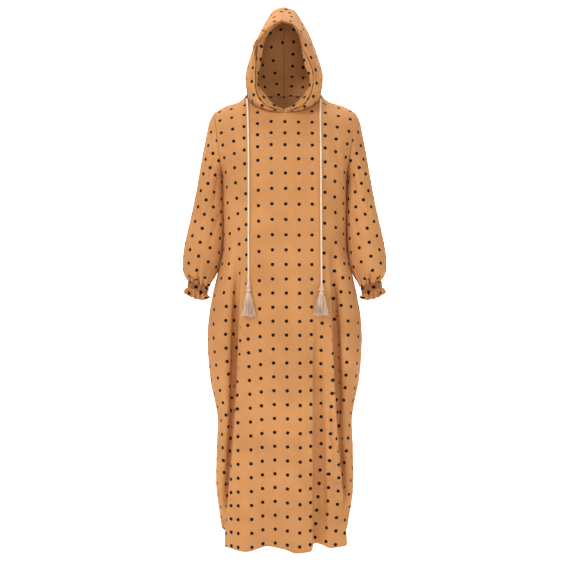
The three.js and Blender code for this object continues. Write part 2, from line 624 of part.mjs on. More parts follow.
// Each end of the drawcord comes out under the hood's base and hangs down the
// front, just clear of the cloth, to the top of its tassel.
const CORD_DIAMETER = 5.5;
const CORD_STEP = 2.8 * CORD_DIAMETER;
const CORD_ROUTES = {
  right: [
    [-114.5, -24.5, 9], [-114, -31, 3], [-113.3, -39.5, -4], [-112.6, -48.5, -12],
    [-111.6, -61.5, -25], [-110.4, -76.8, -45], [-109.4, -90.6, -70], [-108.6, -100.4, -100],
    [-107.8, -107.8, -140], [-107.2, -111.4, -185], [-107, -112, -235], [-107, -112.2, -290],
    [-107.2, -113, -345], [-107.4, -114.2, -400], [-107.3, -116.4, -455], [-107, -119.2, -505],
    [-107, -122.6, -532], [-107, -126.7, -557.7],
  ],
  left: [
    [114, -24.8, 8], [113.4, -32, 2], [112.7, -40.8, -5], [112, -49.8, -13],
    [111.4, -62.6, -26], [111, -77, -46], [111, -90.2, -70], [111.2, -100, -100],
    [111.5, -107.2, -140], [111.8, -110.6, -185], [112, -111, -235], [112.2, -111, -290],
    [112.5, -111.4, -345], [112.8, -112.6, -400], [113, -114.8, -455], [113.2, -118, -505],
    [113.3, -121.8, -540], [113.4, -127, -567.7],
  ],
};

// A tassel hangs from its own top: wound neck, bead, then the skirt's head,
// into which the strands are set. Its front leans out by tilt, and its skirt
// to the side by swing, in radians.
const TASSELS = {
  right: { top: [-107, -126.7, -558], neck: 18.7, tilt: 0.13, swing: 0 },
  left: { top: [113.4, -127, -568], neck: 6, tilt: 0.125, swing: 0.02 },
};
const TASSEL = {
  neckRadius: 5.4, waistRadius: 3.9, beadRadius: 8.2, beadHeight: 11, groove: 1.5,
  headRadius: 7.6, headWidest: 8, headHeight: 14, headFootRadius: 6.4,
  skirtLength: 72, strandRadius: 1.2, tipWave: 2.5,
};
const BEAD_SHOULDER = 0.8;        // share of the bead's radius near its ends
const HEAD_CORNERS = 12;
const SKIRT_SECTIONS = [
  { down: 0.1, halfWidth: 6.4, halfDepth: 6 },
  { down: 0.5, halfWidth: 13.6, halfDepth: 8.5 },
  { down: 1, halfWidth: 21, halfDepth: 10.6 },
];
const STRAND_RINGS = [
  { strands: 18, reach: 1 },
  { strands: 12, reach: 0.62 },
  { strands: 6, reach: 0.28 },
];

function cord({ side }) {
  const curve = new THREE.CatmullRomCurve3(CORD_ROUTES[side].map((p) => new THREE.Vector3(...p)));
  const section = new THREE.Shape();
  const corners = 8;
  const radius = CORD_DIAMETER / 2;
  for (let k = 0; k < corners; k += 1) {
    const turn = (2 * Math.PI * k) / corners;
    const draw = k === 0 ? 'moveTo' : 'lineTo';
    section[draw](radius * Math.cos(turn), radius * Math.sin(turn));
  }
  const steps = Math.round(curve.getLength() / CORD_STEP);
  const geometry = new THREE.ExtrudeGeometry(section, { steps, extrudePath: curve });
  return piece(`drawcord_${side}`, geometry, CREAM);
}

function toSolid(geometry) {
  const bare = geometry.clone();
  bare.deleteAttribute('normal');
  bare.deleteAttribute('uv');
  const merged = mergeVertices(bare, 1e-4);
  return new wasm.Manifold(new wasm.Mesh({
    numProp: 3,
    vertProperties: new Float32Array(merged.attributes.position.array),
    triVerts: new Uint32Array(merged.index.array),
  }));
}

function fromSolid(solid) {
  const mesh = solid.getMesh();
  const geometry = new THREE.BufferGeometry();
  geometry.setAttribute('position', new THREE.BufferAttribute(mesh.vertProperties, 3));
  geometry.setIndex(new THREE.BufferAttribute(mesh.triVerts, 1));
  geometry.computeVertexNormals();
  return geometry;
}

// A three-sided strand of the skirt, from inside the head to its tip.
function strand(skirtTop, reach, turn, tipDrop) {
  const sides = 3;
  const centres = SKIRT_SECTIONS.map(({ down, halfWidth, halfDepth }, k) => new THREE.Vector3(
    reach * halfWidth * Math.cos(turn),
    reach * halfDepth * Math.sin(turn),
    skirtTop - TASSEL.skirtLength * down - (k === SKIRT_SECTIONS.length - 1 ? tipDrop : 0),
  ));
  const positions = [];
  for (const centre of centres) {
    for (let k = 0; k < sides; k += 1) {
      const around = turn + (2 * Math.PI * k) / sides;
      positions.push(
        centre.x + TASSEL.strandRadius * Math.cos(around),
        centre.y + TASSEL.strandRadius * Math.sin(around),
        centre.z,
      );
    }
  }
  const faces = [0, 1, 2];
  for (let j = 0; j < centres.length - 1; j += 1) {
    for (let k = 0; k < sides; k += 1) {
      const [a, b] = [j * sides + k, j * sides + ((k + 1) % sides)];
      faces.push(a, a + sides, b + sides, a, b + sides, b);
    }
  }
  const last = (centres.length - 1) * sides;
  faces.push(last, last + 2, last + 1);
  return outwardGeometry(positions, faces);
}

function tassel({ side }) {
  const { top, neck, tilt, swing } = TASSELS[side];
  const beadTop = -neck - TASSEL.groove;
  const beadFoot = beadTop - TASSEL.beadHeight;
  const skirtTop = beadFoot - TASSEL.groove;
  const headFoot = skirtTop - TASSEL.headHeight;
  const profile = [
    [0, 0], [TASSEL.neckRadius, 0], [TASSEL.neckRadius, -neck], [TASSEL.waistRadius, beadTop],
    [TASSEL.beadRadius * BEAD_SHOULDER, beadTop - TASSEL.groove],
    [TASSEL.beadRadius, (beadTop + beadFoot) / 2],
    [TASSEL.beadRadius * BEAD_SHOULDER, beadFoot + TASSEL.groove],
    [TASSEL.waistRadius, beadFoot], [TASSEL.neckRadius, skirtTop],
    [TASSEL.headRadius, skirtTop - TASSEL.headWidest], [TASSEL.headFootRadius, headFoot],
    [0, headFoot],
  ].reverse();
  const head = new THREE.LatheGeometry(
    profile.map(([r, z]) => new THREE.Vector2(r, z)), HEAD_CORNERS);
  head.rotateX(Math.PI / 2);
  let solid = toSolid(head);
  for (const { strands, reach } of STRAND_RINGS) {
    for (let k = 0; k < strands; k += 1) {
      const turn = (2 * Math.PI * (k + reach)) / strands;
      const tipDrop = TASSEL.tipWave * Math.sin(2.4 * k + 5 * reach);
      solid = solid.add(toSolid(strand(skirtTop, reach, turn, tipDrop)));
    }
  }
  const mesh = piece(`tassel_${side}`, fromSolid(solid), BEIGE);
  mesh.position.set(...top);
  mesh.rotation.set(-tilt, swing, 0);
  return mesh;
}

// ---------------------------------------------------------------- assembly

const abaya = new THREE.Group();
abaya.add(...bodyPanel('front'), ...bodyPanel('back'));
for (const place of SIDES) {
  abaya.add(sleeve(place), cuff(place), hoodHalf(place), casing(place));
  abaya.add(cord(place), tassel(place));
}

export default abaya;
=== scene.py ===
import math
import bpy
import numpy as np
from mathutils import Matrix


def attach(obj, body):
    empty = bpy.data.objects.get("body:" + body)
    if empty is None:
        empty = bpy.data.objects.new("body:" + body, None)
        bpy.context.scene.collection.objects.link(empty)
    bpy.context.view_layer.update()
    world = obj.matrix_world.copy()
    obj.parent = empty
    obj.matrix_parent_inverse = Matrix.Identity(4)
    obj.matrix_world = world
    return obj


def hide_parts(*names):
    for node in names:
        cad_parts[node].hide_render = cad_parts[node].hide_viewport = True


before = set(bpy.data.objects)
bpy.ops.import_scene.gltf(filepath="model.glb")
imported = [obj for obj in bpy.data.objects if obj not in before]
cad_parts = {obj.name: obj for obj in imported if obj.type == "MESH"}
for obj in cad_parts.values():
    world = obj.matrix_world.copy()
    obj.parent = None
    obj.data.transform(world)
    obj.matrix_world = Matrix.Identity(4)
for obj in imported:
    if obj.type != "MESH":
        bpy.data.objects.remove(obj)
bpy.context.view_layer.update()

# A hooded abaya, filled out as it is worn, with nobody in it. Lengths are millimetres in the
# garment's own frame: +Z up, the front faces -Y, the wearer's left is +X. A sign of 1 stands
# for the wearer's left and -1 for the right.
MM = 0.001

# ------------------------------------------------------------------ camera

CAMERA = {"x": 3.1, "distance": 3700.0, "z": -568.0, "view_width": 1778.0}

def set_camera():
    """A level camera in front of the garment; its angle spans the view's width at the garment's middle."""
    data = bpy.data.cameras.new("studio_camera")
    data.sensor_fit = "HORIZONTAL"
    data.angle = 2 * math.atan(CAMERA["view_width"] / 2 / CAMERA["distance"])
    camera = bpy.data.objects.new("studio_camera", data)
    camera.location = (CAMERA["x"] * MM, -CAMERA["distance"] * MM, CAMERA["z"] * MM)
    camera.rotation_euler = (math.pi / 2, 0, 0)
    bpy.context.collection.objects.link(camera)
    bpy.context.scene.camera = camera

set_camera()

# ------------------------------------------------------------------ numbers

def lerp(a, b, t):
    return a + (b - a) * t

def smooth(t):
    t = np.clip(t, 0, 1)
    return t * t * (3 - 2 * t)

def bell(t):
    return np.exp(-t * t)

def through(keys, values, at):
    """Smooth curve through the table's points: cubic pieces whose slope at each point is the
    harmonic mean of the chords beside it, or level where they turn."""
    keys = np.asarray(keys, float)
    values = np.asarray(values, float)
    if keys[0] > keys[-1]:
        keys, values = keys[::-1], values[::-1]
    shape = (-1,) + (1,) * (values.ndim - 1)
    chord = np.diff(values, axis=0) / np.diff(keys).reshape(shape)
    slope = np.concatenate([chord[:1], chord[1:] * 0, chord[-1:]])
    before, after = chord[:-1], chord[1:]
    total = before + after
    same = before * after > 0
    slope[1:-1] = np.where(same, 2 * before * after / np.where(same, total, 1), 0)
    at = np.clip(np.asarray(at, float), keys[0], keys[-1])
    i = np.clip(np.searchsorted(keys, at, side="right") - 1, 0, len(keys) - 2)
    step = keys[i + 1] - keys[i]
    t = (at - keys[i]) / step
    extra = (1,) * (values.ndim - 1)
    t, step = t.reshape(t.shape + extra), step.reshape(step.shape + extra)
    return (values[i] * (1 + 2 * t) * (1 - t) ** 2 + values[i + 1] * t * t * (3 - 2 * t)
            + slope[i] * step * t * (1 - t) ** 2 + slope[i + 1] * step * t * t * (t - 1))

def unit(vectors):
    return vectors / np.maximum(np.linalg.norm(vectors, axis=-1, keepdims=True), 1e-12)

def along_rows(points):
    """Distance along each row of a grid of points, from its first column."""
    steps = np.linalg.norm(np.diff(points, axis=1), axis=-1)
    return np.concatenate([np.zeros((len(points), 1)), np.cumsum(steps, axis=1)], axis=1)

def along_columns(points):
    return along_rows(points.swapaxes(0, 1)).swapaxes(0, 1)

def grid_normals(points, outward):
    """Unit normals of a grid, on the side that the vectors outward point to."""
    normals = unit(np.cross(np.gradient(points, axis=1), np.gradient(points, axis=0)))
    turned = np.sum(normals * outward, axis=-1, keepdims=True) < 0
    return np.where(turned, -normals, normals)

def closed_normals(points, outward):
    """Normals of a grid whose last column repeats its first."""
    wider = [np.concatenate([grid[:, -2:-1], grid, grid[:, 1:2]], axis=1) for grid in (points, outward)]
    return grid_normals(*wider)[:, 1:-1]

def look_up(table, at):
    """The later columns of a table, at places along its first."""
    table = np.asarray(table, float)
    return through(table[:, 0], table[:, 1:], at)

def path_length(path):
    return along_rows(path[None])[0]

def pushed(points, normals, push):
    return points + normals * push[..., None]

def span(t, over, soft):
    """1 along a line on which t runs from 0 to 1, fading out a little past its ends."""
    return smooth((t + over) / soft) * smooth((1 + over - t) / soft)

def seam_dip(distance, depth, width=3.5):
    """How far a seam draws the cloth in, at a distance from it."""
    return -depth * bell(distance / width)

def print_map(column, row):
    return np.stack(np.broadcast_arrays(column, row), axis=-1)

# ------------------------------------------------------------------ meshes

def add_piece(name, points, faces, uv=None):
    """A smooth-shaded mesh object at the origin, from points in millimetres and a print map."""
    mesh = bpy.data.meshes.new(name)
    mesh.from_pydata((points * MM).tolist(), [], faces)
    if uv is not None:
        corner = np.empty(len(mesh.loops), dtype=np.int32)
        mesh.loops.foreach_get("vertex_index", corner)
        layer = mesh.uv_layers.new(name="print")
        layer.data.foreach_set("uv", uv.astype(np.float32)[corner].ravel())
    mesh.polygons.foreach_set("use_smooth", np.full(len(mesh.polygons), True))
    mesh.update()
    piece = bpy.data.objects.new(name, mesh)
    bpy.context.collection.objects.link(piece)
    return piece

def fit(piece, finish, slot, *nodes):
    """Gives a piece its finish and its body, and the solids that it stands for."""
    piece.data.materials.append(finish)
    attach(piece, "root")
    if nodes:
        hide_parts(*nodes)

def grid_faces(rows, columns):
    j, i = np.meshgrid(np.arange(rows - 1), np.arange(columns - 1), indexing="ij")
    a = (j * columns + i).ravel()
    return np.stack([a, a + 1, a + columns + 1, a + columns], axis=1)

def sampled(grid, place):
    """Values of a grid at places between its rows and columns, carried straight on past its edges."""
    low = np.clip(np.floor(place).astype(int), 0, np.array(grid.shape[:2]) - 2)
    part = place - low
    a, b = part[..., :1], part[..., 1:]
    i, j = low[..., 0], low[..., 1]
    return lerp(lerp(grid[i, j], grid[i, j + 1], b), lerp(grid[i + 1, j], grid[i + 1, j + 1], b), a)

def turned_back(slopes):
    """Inverse of each 2 by 2 matrix, given as its four values in a row."""
    a, b, c, d = np.moveaxis(slopes, -1, 0)
    size = a * d - b * c
    size = np.where(np.abs(size) < 1e-7, 1e-7, size)
    return (np.stack([d, -b, -c, a], axis=-1) / size[..., None]).reshape(size.shape + (2, 2))

def round_dots(points, prints):
    """A print map whose dots keep their middles and are round on the cloth. Newton steps find
    the middle of each point's nearest dot, and the offset from it is measured in the cloth's
    plane, along the print's columns and square to them."""
    here = np.moveaxis(np.indices(points.shape[:2]).astype(float), 0, -1)
    near = np.round(prints)
    slopes = np.stack(np.gradient(prints, axis=(0, 1)), axis=-1).reshape(here.shape[:2] + (4,))
    place = here
    for _ in range(3):
        miss = (near - sampled(prints, place))[..., None]
        step = (turned_back(sampled(slopes, place)) @ miss)[..., 0]
        place = here + np.clip(place + step - here, -16, 16)
    offset = points - sampled(points, place)
    ways = np.stack(np.gradient(points, axis=(0, 1)), axis=-1) @ turned_back(slopes)
    across = unit(ways[..., 0])
    down = unit(ways[..., 1] - across * np.sum(across * ways[..., 1], axis=-1, keepdims=True))
    offset = np.stack([np.sum(offset * across, axis=-1), np.sum(offset * down, axis=-1)], axis=-1)
    return near + np.clip(offset / DOT["pitch"], -0.5, 0.5)

# The garment hangs a little wider on the wearer's left: how much, from what x, and over what width
WIDER_LEFT = {"by": 4.5, "from": 100.0, "over": 80.0}
CLOTH_WALL, CUFF_WALL = 0.9, 0.7

def cloth_piece(name, nodes, points, prints, outward, wall=CLOTH_WALL, smooth_form=None):
    """A thin shell whose outer face is the grid of points. A print map gives each point's place
    in the pattern, in repeats. Dots on puckered cloth are measured on its smooth form."""
    rows, columns = points.shape[:2]
    faces = grid_faces(rows, columns)
    j, i = rows // 2, columns // 2
    across, up = points[j, i + 1] - points[j, i], points[j + 1, i] - points[j, i]
    if np.dot(np.cross(across, up), outward[j, i]) < 0:
        faces = faces[:, ::-1]
    prints = round_dots(points if smooth_form is None else smooth_form, prints)
    hung = points.copy()
    hung[..., 0] += WIDER_LEFT["by"] * smooth((points[..., 0] - WIDER_LEFT["from"]) / WIDER_LEFT["over"])
    piece = add_piece(name, hung.reshape(-1, 3), faces.tolist(), prints.reshape(-1, 2))
    shell = piece.modifiers.new("wall", "SOLIDIFY")
    shell.thickness = wall * MM
    shell.offset = -1
    shell.use_even_offset = False
    fit(piece, crepe, "crepe", *nodes)
    height = round(float(along_columns(points)[-1].max()) * MM, 3)

def tube(path, radius, around, relief=lambda turn, along: 0):
    """Points of a tube round a path, its faces with both ends closed, and a map round and along
    it. The rings' frame is carried along the path without twisting."""
    path = np.asarray(path, float)
    tangent = unit(np.gradient(path, axis=0))
    side = np.empty_like(path)
    start = np.array([1.0, 0, 0]) if abs(tangent[0, 0]) < 0.9 else np.array([0, 1.0, 0])
    side[0] = unit(start - tangent[0] * np.dot(start, tangent[0]))
    for k in range(1, len(path)):
        side[k] = unit(side[k - 1] - tangent[k] * np.dot(side[k - 1], tangent[k]))
    other = np.cross(tangent, side)
    turn = np.linspace(0, 2 * math.pi, around, endpoint=False)
    length = path_length(path)
    reach = np.asarray(radius, float).reshape(-1, 1) + relief(turn[None, :], length[:, None])
    points = (path[:, None] + reach[..., None] * (np.cos(turn)[None, :, None] * side[:, None]
                                                + np.sin(turn)[None, :, None] * other[:, None]))
    rings = len(path)
    j, i = np.meshgrid(np.arange(rings - 1), np.arange(around), indexing="ij")
    a, b = (j * around + i).ravel(), (j * around + (i + 1) % around).ravel()
    faces = np.stack([a, b, b + around, a + around], axis=1).tolist()
    faces.append(list(range(around))[::-1])
    faces.append(list(range((rings - 1) * around, rings * around)))
    uv = print_map(turn[None, :] / (2 * math.pi), length[:, None] * MM)
    return points.reshape(-1, 3), faces, uv.reshape(-1, 2)

# ------------------------------------------------------------------ materials

class Nodes:
    """Short names for building a node tree."""

    def __init__(self, name):
        self.material = bpy.data.materials.new(name)
        self.material.use_nodes = True
        self.tree = self.material.node_tree
        self.shader = self.tree.nodes["Principled BSDF"]

    def add(self, kind, links=None, **settings):
        node = self.tree.nodes.new(kind)
        for key, value in settings.items():
            setattr(node, key, value)
        for socket, value in (links or {}).items():
            self.put(node.inputs[socket], value)
        return node

    def put(self, socket, value):
        if isinstance(value, bpy.types.NodeSocket):
            self.tree.links.new(value, socket)
        else:
            socket.default_value = value

    def math(self, operation, a, b=0.0):
        node = self.add("ShaderNodeMath", operation=operation)
        self.put(node.inputs[0], a)
        self.put(node.inputs[1], b)
        return node.outputs[0]

    def plus(self, a, b):
        return self.math("ADD", a, b)

    def times(self, a, b):
        return self.math("MULTIPLY", a, b)

    def fade(self, value, low, high):
        """0 at low, 1 at high, eased between."""
        node = self.add("ShaderNodeMapRange", interpolation_type="SMOOTHSTEP")
        for socket, number in ((0, value), (1, low), (2, high), (3, 0.0), (4, 1.0)):
            self.put(node.inputs[socket], number)
        return node.outputs[0]

    def mix(self, share, a, b):
        node = self.add("ShaderNodeMix", data_type="RGBA")
        self.put(node.inputs[0], share)
        self.put(node.inputs[6], a)
        self.put(node.inputs[7], b)
        return node.outputs[2]

    def noise(self, vector, scale, detail=2.0, rough=0.5):
        node = self.add("ShaderNodeTexNoise", {"Vector": vector, "Scale": scale, "Detail": detail,
                                               "Roughness": rough})
        return node.outputs["Fac"]

    def place(self):
        return self.add("ShaderNodeTexCoord").outputs["Object"]

    def stretched(self, vector, scale):
        return self.add("ShaderNodeMapping", {"Vector": vector, "Scale": scale}).outputs[0]

    def bump(self, height, strength, distance):
        inputs = {"Height": height, "Strength": strength, "Distance": distance}
        return self.add("ShaderNodeBump", inputs).outputs[0]

    def look(self, inputs):
        for socket, value in inputs.items():
            self.put(self.shader.inputs[socket], value)
        return self.material

DOT = {"pitch": 42.0, "radius": 5.35, "edge": 0.45}
CREPE = {"light": (0.575, 0.266, 0.098, 1), "deep": (0.50, 0.222, 0.078, 1), "ink": (0.006, 0.004, 0.004, 1)}

def crepe_material():
    """Matte crepe: a pebbled twisted-yarn grain, faint slubs across it, soft blotches of
    colour, and round ink dots with slightly bled edges at the corners of the print's repeats."""
    n = Nodes("printed_crepe")
    place = n.place()
    slub = n.noise(n.stretched(place, (400, 400, 40)), 1.0, 1.0)
    grain = n.noise(place, 1500.0, 2.0, 0.6)
    pebble = n.noise(place, 620.0, 1.0)
    cloth = n.mix(n.fade(n.noise(place, 9.0, 3.0), 0.3, 0.7), CREPE["deep"], CREPE["light"])
    cloth = n.mix(n.times(n.fade(slub, 0.55, 0.75), 0.25), cloth, CREPE["deep"])
    split = n.add("ShaderNodeSeparateXYZ", {"Vector": n.add("ShaderNodeUVMap", uv_map="print").outputs[0]})
    offsets = [n.times(n.math("SUBTRACT", part, n.math("ROUND", part)), DOT["pitch"])
               for part in split.outputs[:2]]
    reach = n.math("SQRT", n.plus(*[n.times(offset, offset) for offset in offsets]))
    frayed = n.plus(reach, n.times(n.math("SUBTRACT", pebble, 0.5), 0.8))
    outside = n.fade(frayed, DOT["radius"] - DOT["edge"], DOT["radius"] + DOT["edge"])
    height = n.plus(n.times(grain, 0.5), n.plus(pebble, n.times(slub, 0.4)))
    return n.look({
        "Base Color": n.mix(outside, CREPE["ink"], cloth), "Roughness": n.plus(0.82, n.times(grain, 0.12)),
        "Specular IOR Level": 0.14, "Sheen Weight": 0.05, "Sheen Roughness": 0.55,
        "Sheen Tint": (1.0, 0.86, 0.7, 1), "Normal": n.bump(height, 0.35, 0.0005),
    })

def thread_material(name, light, deep, scale, sheen):
    """Thread: fibres drawn out by the scale along each axis, with uneven shade and a soft gloss."""
    light, deep = (*light, 1), (*deep, 1)
    n = Nodes(name)
    drawn_out = n.stretched(n.place(), scale)
    shade, fibre = n.noise(drawn_out, 0.45), n.noise(drawn_out, 1.0)
    colour = n.mix(n.fade(shade, 0.3, 0.7), deep, light)
    return n.look({
        "Base Color": n.mix(n.times(n.fade(fibre, 0.45, 0.75), 0.35), colour, deep),
        "Roughness": n.plus(0.55, n.times(fibre, 0.25)), "Specular IOR Level": 0.3,
        "Sheen Weight": sheen, "Normal": n.bump(fibre, 0.4, 0.0004),
    })

crepe = crepe_material()
# The seam tapes' thread is the crepe's colour darkened: painted shade for the seams' grooves.
seam_tape_painted_shade = thread_material("seam_tape_painted_shade", (0.42, 0.20, 0.075), (0.30, 0.135, 0.045), (900,) * 3, 0.1)
cord_cotton = thread_material("cord_cotton", (0.86, 0.74, 0.57), (0.72, 0.57, 0.40), (1500, 1500, 500), 0.2)
tassel_floss = thread_material("tassel_floss", (0.88, 0.68, 0.52), (0.50, 0.32, 0.21), (420, 420, 14), 0.25)
wound_floss = thread_material("wound_floss", (0.76, 0.58, 0.44), (0.52, 0.36, 0.25), (300, 300, 2200), 0.25)

# ------------------------------------------------------------------ drawcord and tassels

CORD_DIAMETER = 5.5

CORD_ROUTES = {
    "right": [
        (-114.5, -24.5, 9), (-114, -31, 3), (-113.3, -39.5, -4), (-112.6, -48.5, -12),
        (-111.6, -61.5, -25), (-110.4, -76.8, -45), (-109.4, -90.6, -70), (-108.6, -100.4, -100),
        (-107.8, -107.8, -140), (-107.2, -111.4, -185), (-107, -112, -235), (-107, -112.2, -290),
        (-107.2, -113, -345), (-107.4, -114.2, -400), (-107.3, -116.4, -455), (-107, -119.2, -505),
        (-107, -122.6, -532), (-107, -126.7, -557.7),
    ],
    "left": [
        (114, -24.8, 8), (113.4, -32, 2), (112.7, -40.8, -5), (112, -49.8, -13),
        (111.4, -62.6, -26), (111, -77, -46), (111, -90.2, -70), (111.2, -100, -100),
        (111.5, -107.2, -140), (111.8, -110.6, -185), (112, -111, -235), (112.2, -111, -290),
        (112.5, -111.4, -345), (112.8, -112.6, -400), (113, -114.8, -455), (113.2, -118, -505),
        (113.3, -121.8, -540), (113.4, -127, -567.7),
    ],
}

TASSELS = {
    "right": {"top": (-107, -126.7, -558), "neck": 18.7, "tilt": 0.13, "swing": 0.0, "seed": 5},
    "left": {"top": (113.4, -127, -568), "neck": 6.0, "tilt": 0.125, "swing": 0.02, "seed": 8},
}

# Radii, heights and lengths of a tassel's parts. Its windings are fine ridges, 0.9 mm apart.
TASSEL = {"neck": 5.4, "waist": 3.9, "bead": 8.2, "bead_height": 11.0, "groove": 1.5, "head": 7.6,
          "head_height": 14.0, "skirt": 72.0, "thread": 0.62, "winding": 0.9, "ridge": 0.22}
ROUND = 28
# Threads in each ring of a tassel, and the ring's size
THREAD_RINGS = [(62, 1.0), (46, 0.82), (32, 0.6), (18, 0.34)]
LOCKS = 12

PLAIT = {"strands": 3, "lay": 9.0, "height": 0.34, "middle": 0.45}

def plait(turn, along):
    """Relief of a round braid: two sets of strands wind opposite ways, and the higher shows."""
    lead = along * 2 * math.pi / PLAIT["lay"]
    over = np.maximum(np.cos(PLAIT["strands"] * turn - lead), np.cos(PLAIT["strands"] * turn + lead))
    return PLAIT["height"] * (over - PLAIT["middle"])

def drawcord(side):
    route = np.array(CORD_ROUTES[side], float)
    length = path_length(route)
    path = through(length, route, np.append(np.arange(0, length[-1], 1.25), length[-1]))
    return add_piece(f"drawcord_{side}_plait", *tube(path, CORD_DIAMETER / 2 - 0.12, 18, plait))

def on_axis(height, radius):
    """A round body on the tassel's axis, from its heights and radii."""
    path = np.stack([height * 0, height * 0, height], axis=1)
    return tube(path[::-1], radius[::-1], ROUND)[:2]

def wound_head(neck_foot, bead_top):
    """Wound neck and bead as one lathed profile, with the binding round the skirt's head."""
    neck, waist = TASSEL["neck"], TASSEL["waist"]
    bead_foot = bead_top - TASSEL["bead_height"]
    skirt_top = bead_foot - TASSEL["groove"]
    angle = np.linspace(1.05, -1.05, 13)
    bead = np.stack([TASSEL["bead"] * np.cos(angle),
                     (bead_top + bead_foot) / 2 + TASSEL["bead_height"] / 2 * np.sin(angle)], axis=1)
    above = [(0.3, 0), (neck - 0.6, 0), (neck, -1), (neck, neck_foot + 0.6), (waist, bead_top)]
    profile = np.concatenate([above, bead, [(waist, bead_foot), (neck, skirt_top)]])
    length = path_length(profile)
    fine = np.linspace(0, length[-1], int(length[-1] / 0.3))
    radius, height = np.interp(fine, length, profile[:, 0]), np.interp(fine, length, profile[:, 1])
    windings = TASSEL["ridge"] * np.abs(np.sin(height * math.pi / TASSEL["winding"]))
    points, faces = on_axis(height, np.maximum(radius + windings * (radius > 1), 0.05))
    bind = skirt_top - TASSEL["head_height"] + np.linspace(9.5, 5.0, 40)
    more, more_faces = on_axis(bind, TASSEL["head"] + 0.25 + 0.3 * np.abs(np.sin(bind * math.pi / 1.1)))
    return np.concatenate([points, more]), faces + [[v + len(points) for v in face] for face in more_faces]

def skirt(top, seed):
    """Threads that leave the head's foot and spread to an oval hem in locks, each with its
    own wave and length: x and y grow from the head's radii to the hem's as the thread goes down."""
    rng = np.random.default_rng(seed)
    turn = np.concatenate([2 * math.pi * (np.arange(n) + 0.5 * size) / n for n, size in THREAD_RINGS])
    share = np.concatenate([np.full(n, size) for n, size in THREAD_RINGS])
    turn = (turn + rng.uniform(-0.03, 0.03, len(turn)) + 0.055 * np.sin(LOCKS * turn + seed))[:, None]
    down = np.linspace(0, 1, 13)[None]
    tip = TASSEL["skirt"] * (1 + rng.uniform(-0.045, 0.02, (len(turn), 1))) + 1.6 * np.sin(3 * turn + seed)
    wander = rng.uniform(0, 2 * math.pi, (2, len(turn), 1))
    spread = through([0, 0.1, 0.5, 1], [(3.6, 3.4), (6.6, 6.2), (13.2, 8.3), (20.4, 10.4)], down)
    lock = share[:, None] * (1 - 0.09 * np.cos(LOCKS * turn + seed) * np.minimum(1, 3 * down))
    sway = 0.8 * down ** 1.5
    x = lock * spread[..., 0] * np.cos(turn) + sway * np.sin(5 * down + wander[0])
    y = lock * spread[..., 1] * np.sin(turn) + sway * 0.7 * np.sin(4 * down + wander[1])
    centres = np.stack([x, y, top - down * tip], axis=-1)
    count, steps, sides = *centres.shape[:2], 5
    corner = 2 * math.pi * np.arange(sides) / sides
    ring = np.stack([np.cos(corner), np.sin(corner), corner * 0], axis=-1)
    thick = TASSEL["thread"] * (1 - 0.25 * down[0] ** 2)
    threads = centres[:, :, None] + thick[None, :, None, None] * ring
    s, j, k = np.meshgrid(np.arange(count), np.arange(steps - 1), np.arange(sides), indexing="ij")
    a = (s * steps * sides + j * sides + k).ravel()
    b = (s * steps * sides + j * sides + (k + 1) % sides).ravel()
    walls = np.stack([a, a + sides, b + sides, b], axis=1)
    first = np.arange(count)[:, None] * steps * sides + np.arange(sides)
    caps = np.concatenate([first, first[:, ::-1] + (steps - 1) * sides])
    return threads.reshape(-1, 3), walls.tolist() + caps.tolist()

def tassel(side):
    """Head and skirt, tilted forward and to the side about the tassel's top."""
    facts = TASSELS[side]
    bead_top = -facts["neck"] - TASSEL["groove"]
    skirt_top = bead_top - TASSEL["bead_height"] - TASSEL["groove"]
    level, rise = math.cos(facts["tilt"]), -math.sin(facts["tilt"])
    about_x = np.array([[1, 0, 0], [0, level, -rise], [0, rise, level]])
    level, rise = math.cos(facts["swing"]), math.sin(facts["swing"])
    about_y = np.array([[level, 0, rise], [0, 1, 0], [-rise, 0, level]])
    parts = []
    for part, finish, (points, faces) in (("head", wound_floss, wound_head(-facts["neck"], bead_top)),
                                          ("threads", tassel_floss, skirt(skirt_top, facts["seed"]))):
        placed = points @ (about_x @ about_y).T + np.array(facts["top"])
        parts.append(add_piece(f"tassel_{side}_{part}", placed, faces))
        fit(parts[-1], finish, "tassel", f"tassel_{side}")
    return parts

for side in ("right", "left"):
    ends = tassel(side)
    string = drawcord(side)
    fit(string, cord_cotton, "cord", f"drawcord_{side}")

# ------------------------------------------------------------------ body

UNDERARM = -232.0           # height where the armholes end
ARMHOLE_HALF_DEPTH = 68.0
NECK_SHARE = 0.6            # share of the top edge that is neck seam, from the middle
FOLD_FADE = 0.88            # share of the panel's half width past which its folds fade
CALM_FROM = -60.0           # height below which the cloth starts to swell
PRINT_TURNS = -130.0        # height above which the print's rows go by distance up the cloth
WAVES_FROM, FLARE_FROM = -1190.0, -1120.0
HEM = {"front": -1366.0, "back": -1352.0, "side": -1328.0, "rise": 5}
TOWARD = {"front": -1, "back": 1}

# height, half width, reach to the front, reach to the back, exponent of the outline
BODY_LEVELS = [
    (-232, 190, 115, 108, 2.9), (-300, 190, 118, 110, 2.7), (-400, 189.5, 122, 113, 2.5),
    (-450, 191, 125, 116, 2.45), (-500, 200, 127, 118, 2.4), (-568, 216, 131, 122, 2.35),
    (-615, 226, 134, 126, 2.3), (-677, 235.5, 137, 130, 2.3), (-739, 238.5, 140, 134, 2.3),
    (-802, 235.5, 142, 138, 2.3), (-864, 229.5, 143, 140, 2.3), (-927, 216.5, 144, 142, 2.4),
    (-989, 207.5, 146, 143, 2.5), (-1051, 210, 148, 144, 2.6), (-1114, 212, 150, 145, 2.6),
    (-1176, 213, 151, 145, 2.6), (-1239, 207.5, 152, 145, 2.7), (-1301, 198.5, 153, 144, 2.9),
    (-1370, 188, 154, 143, 3.1),
]

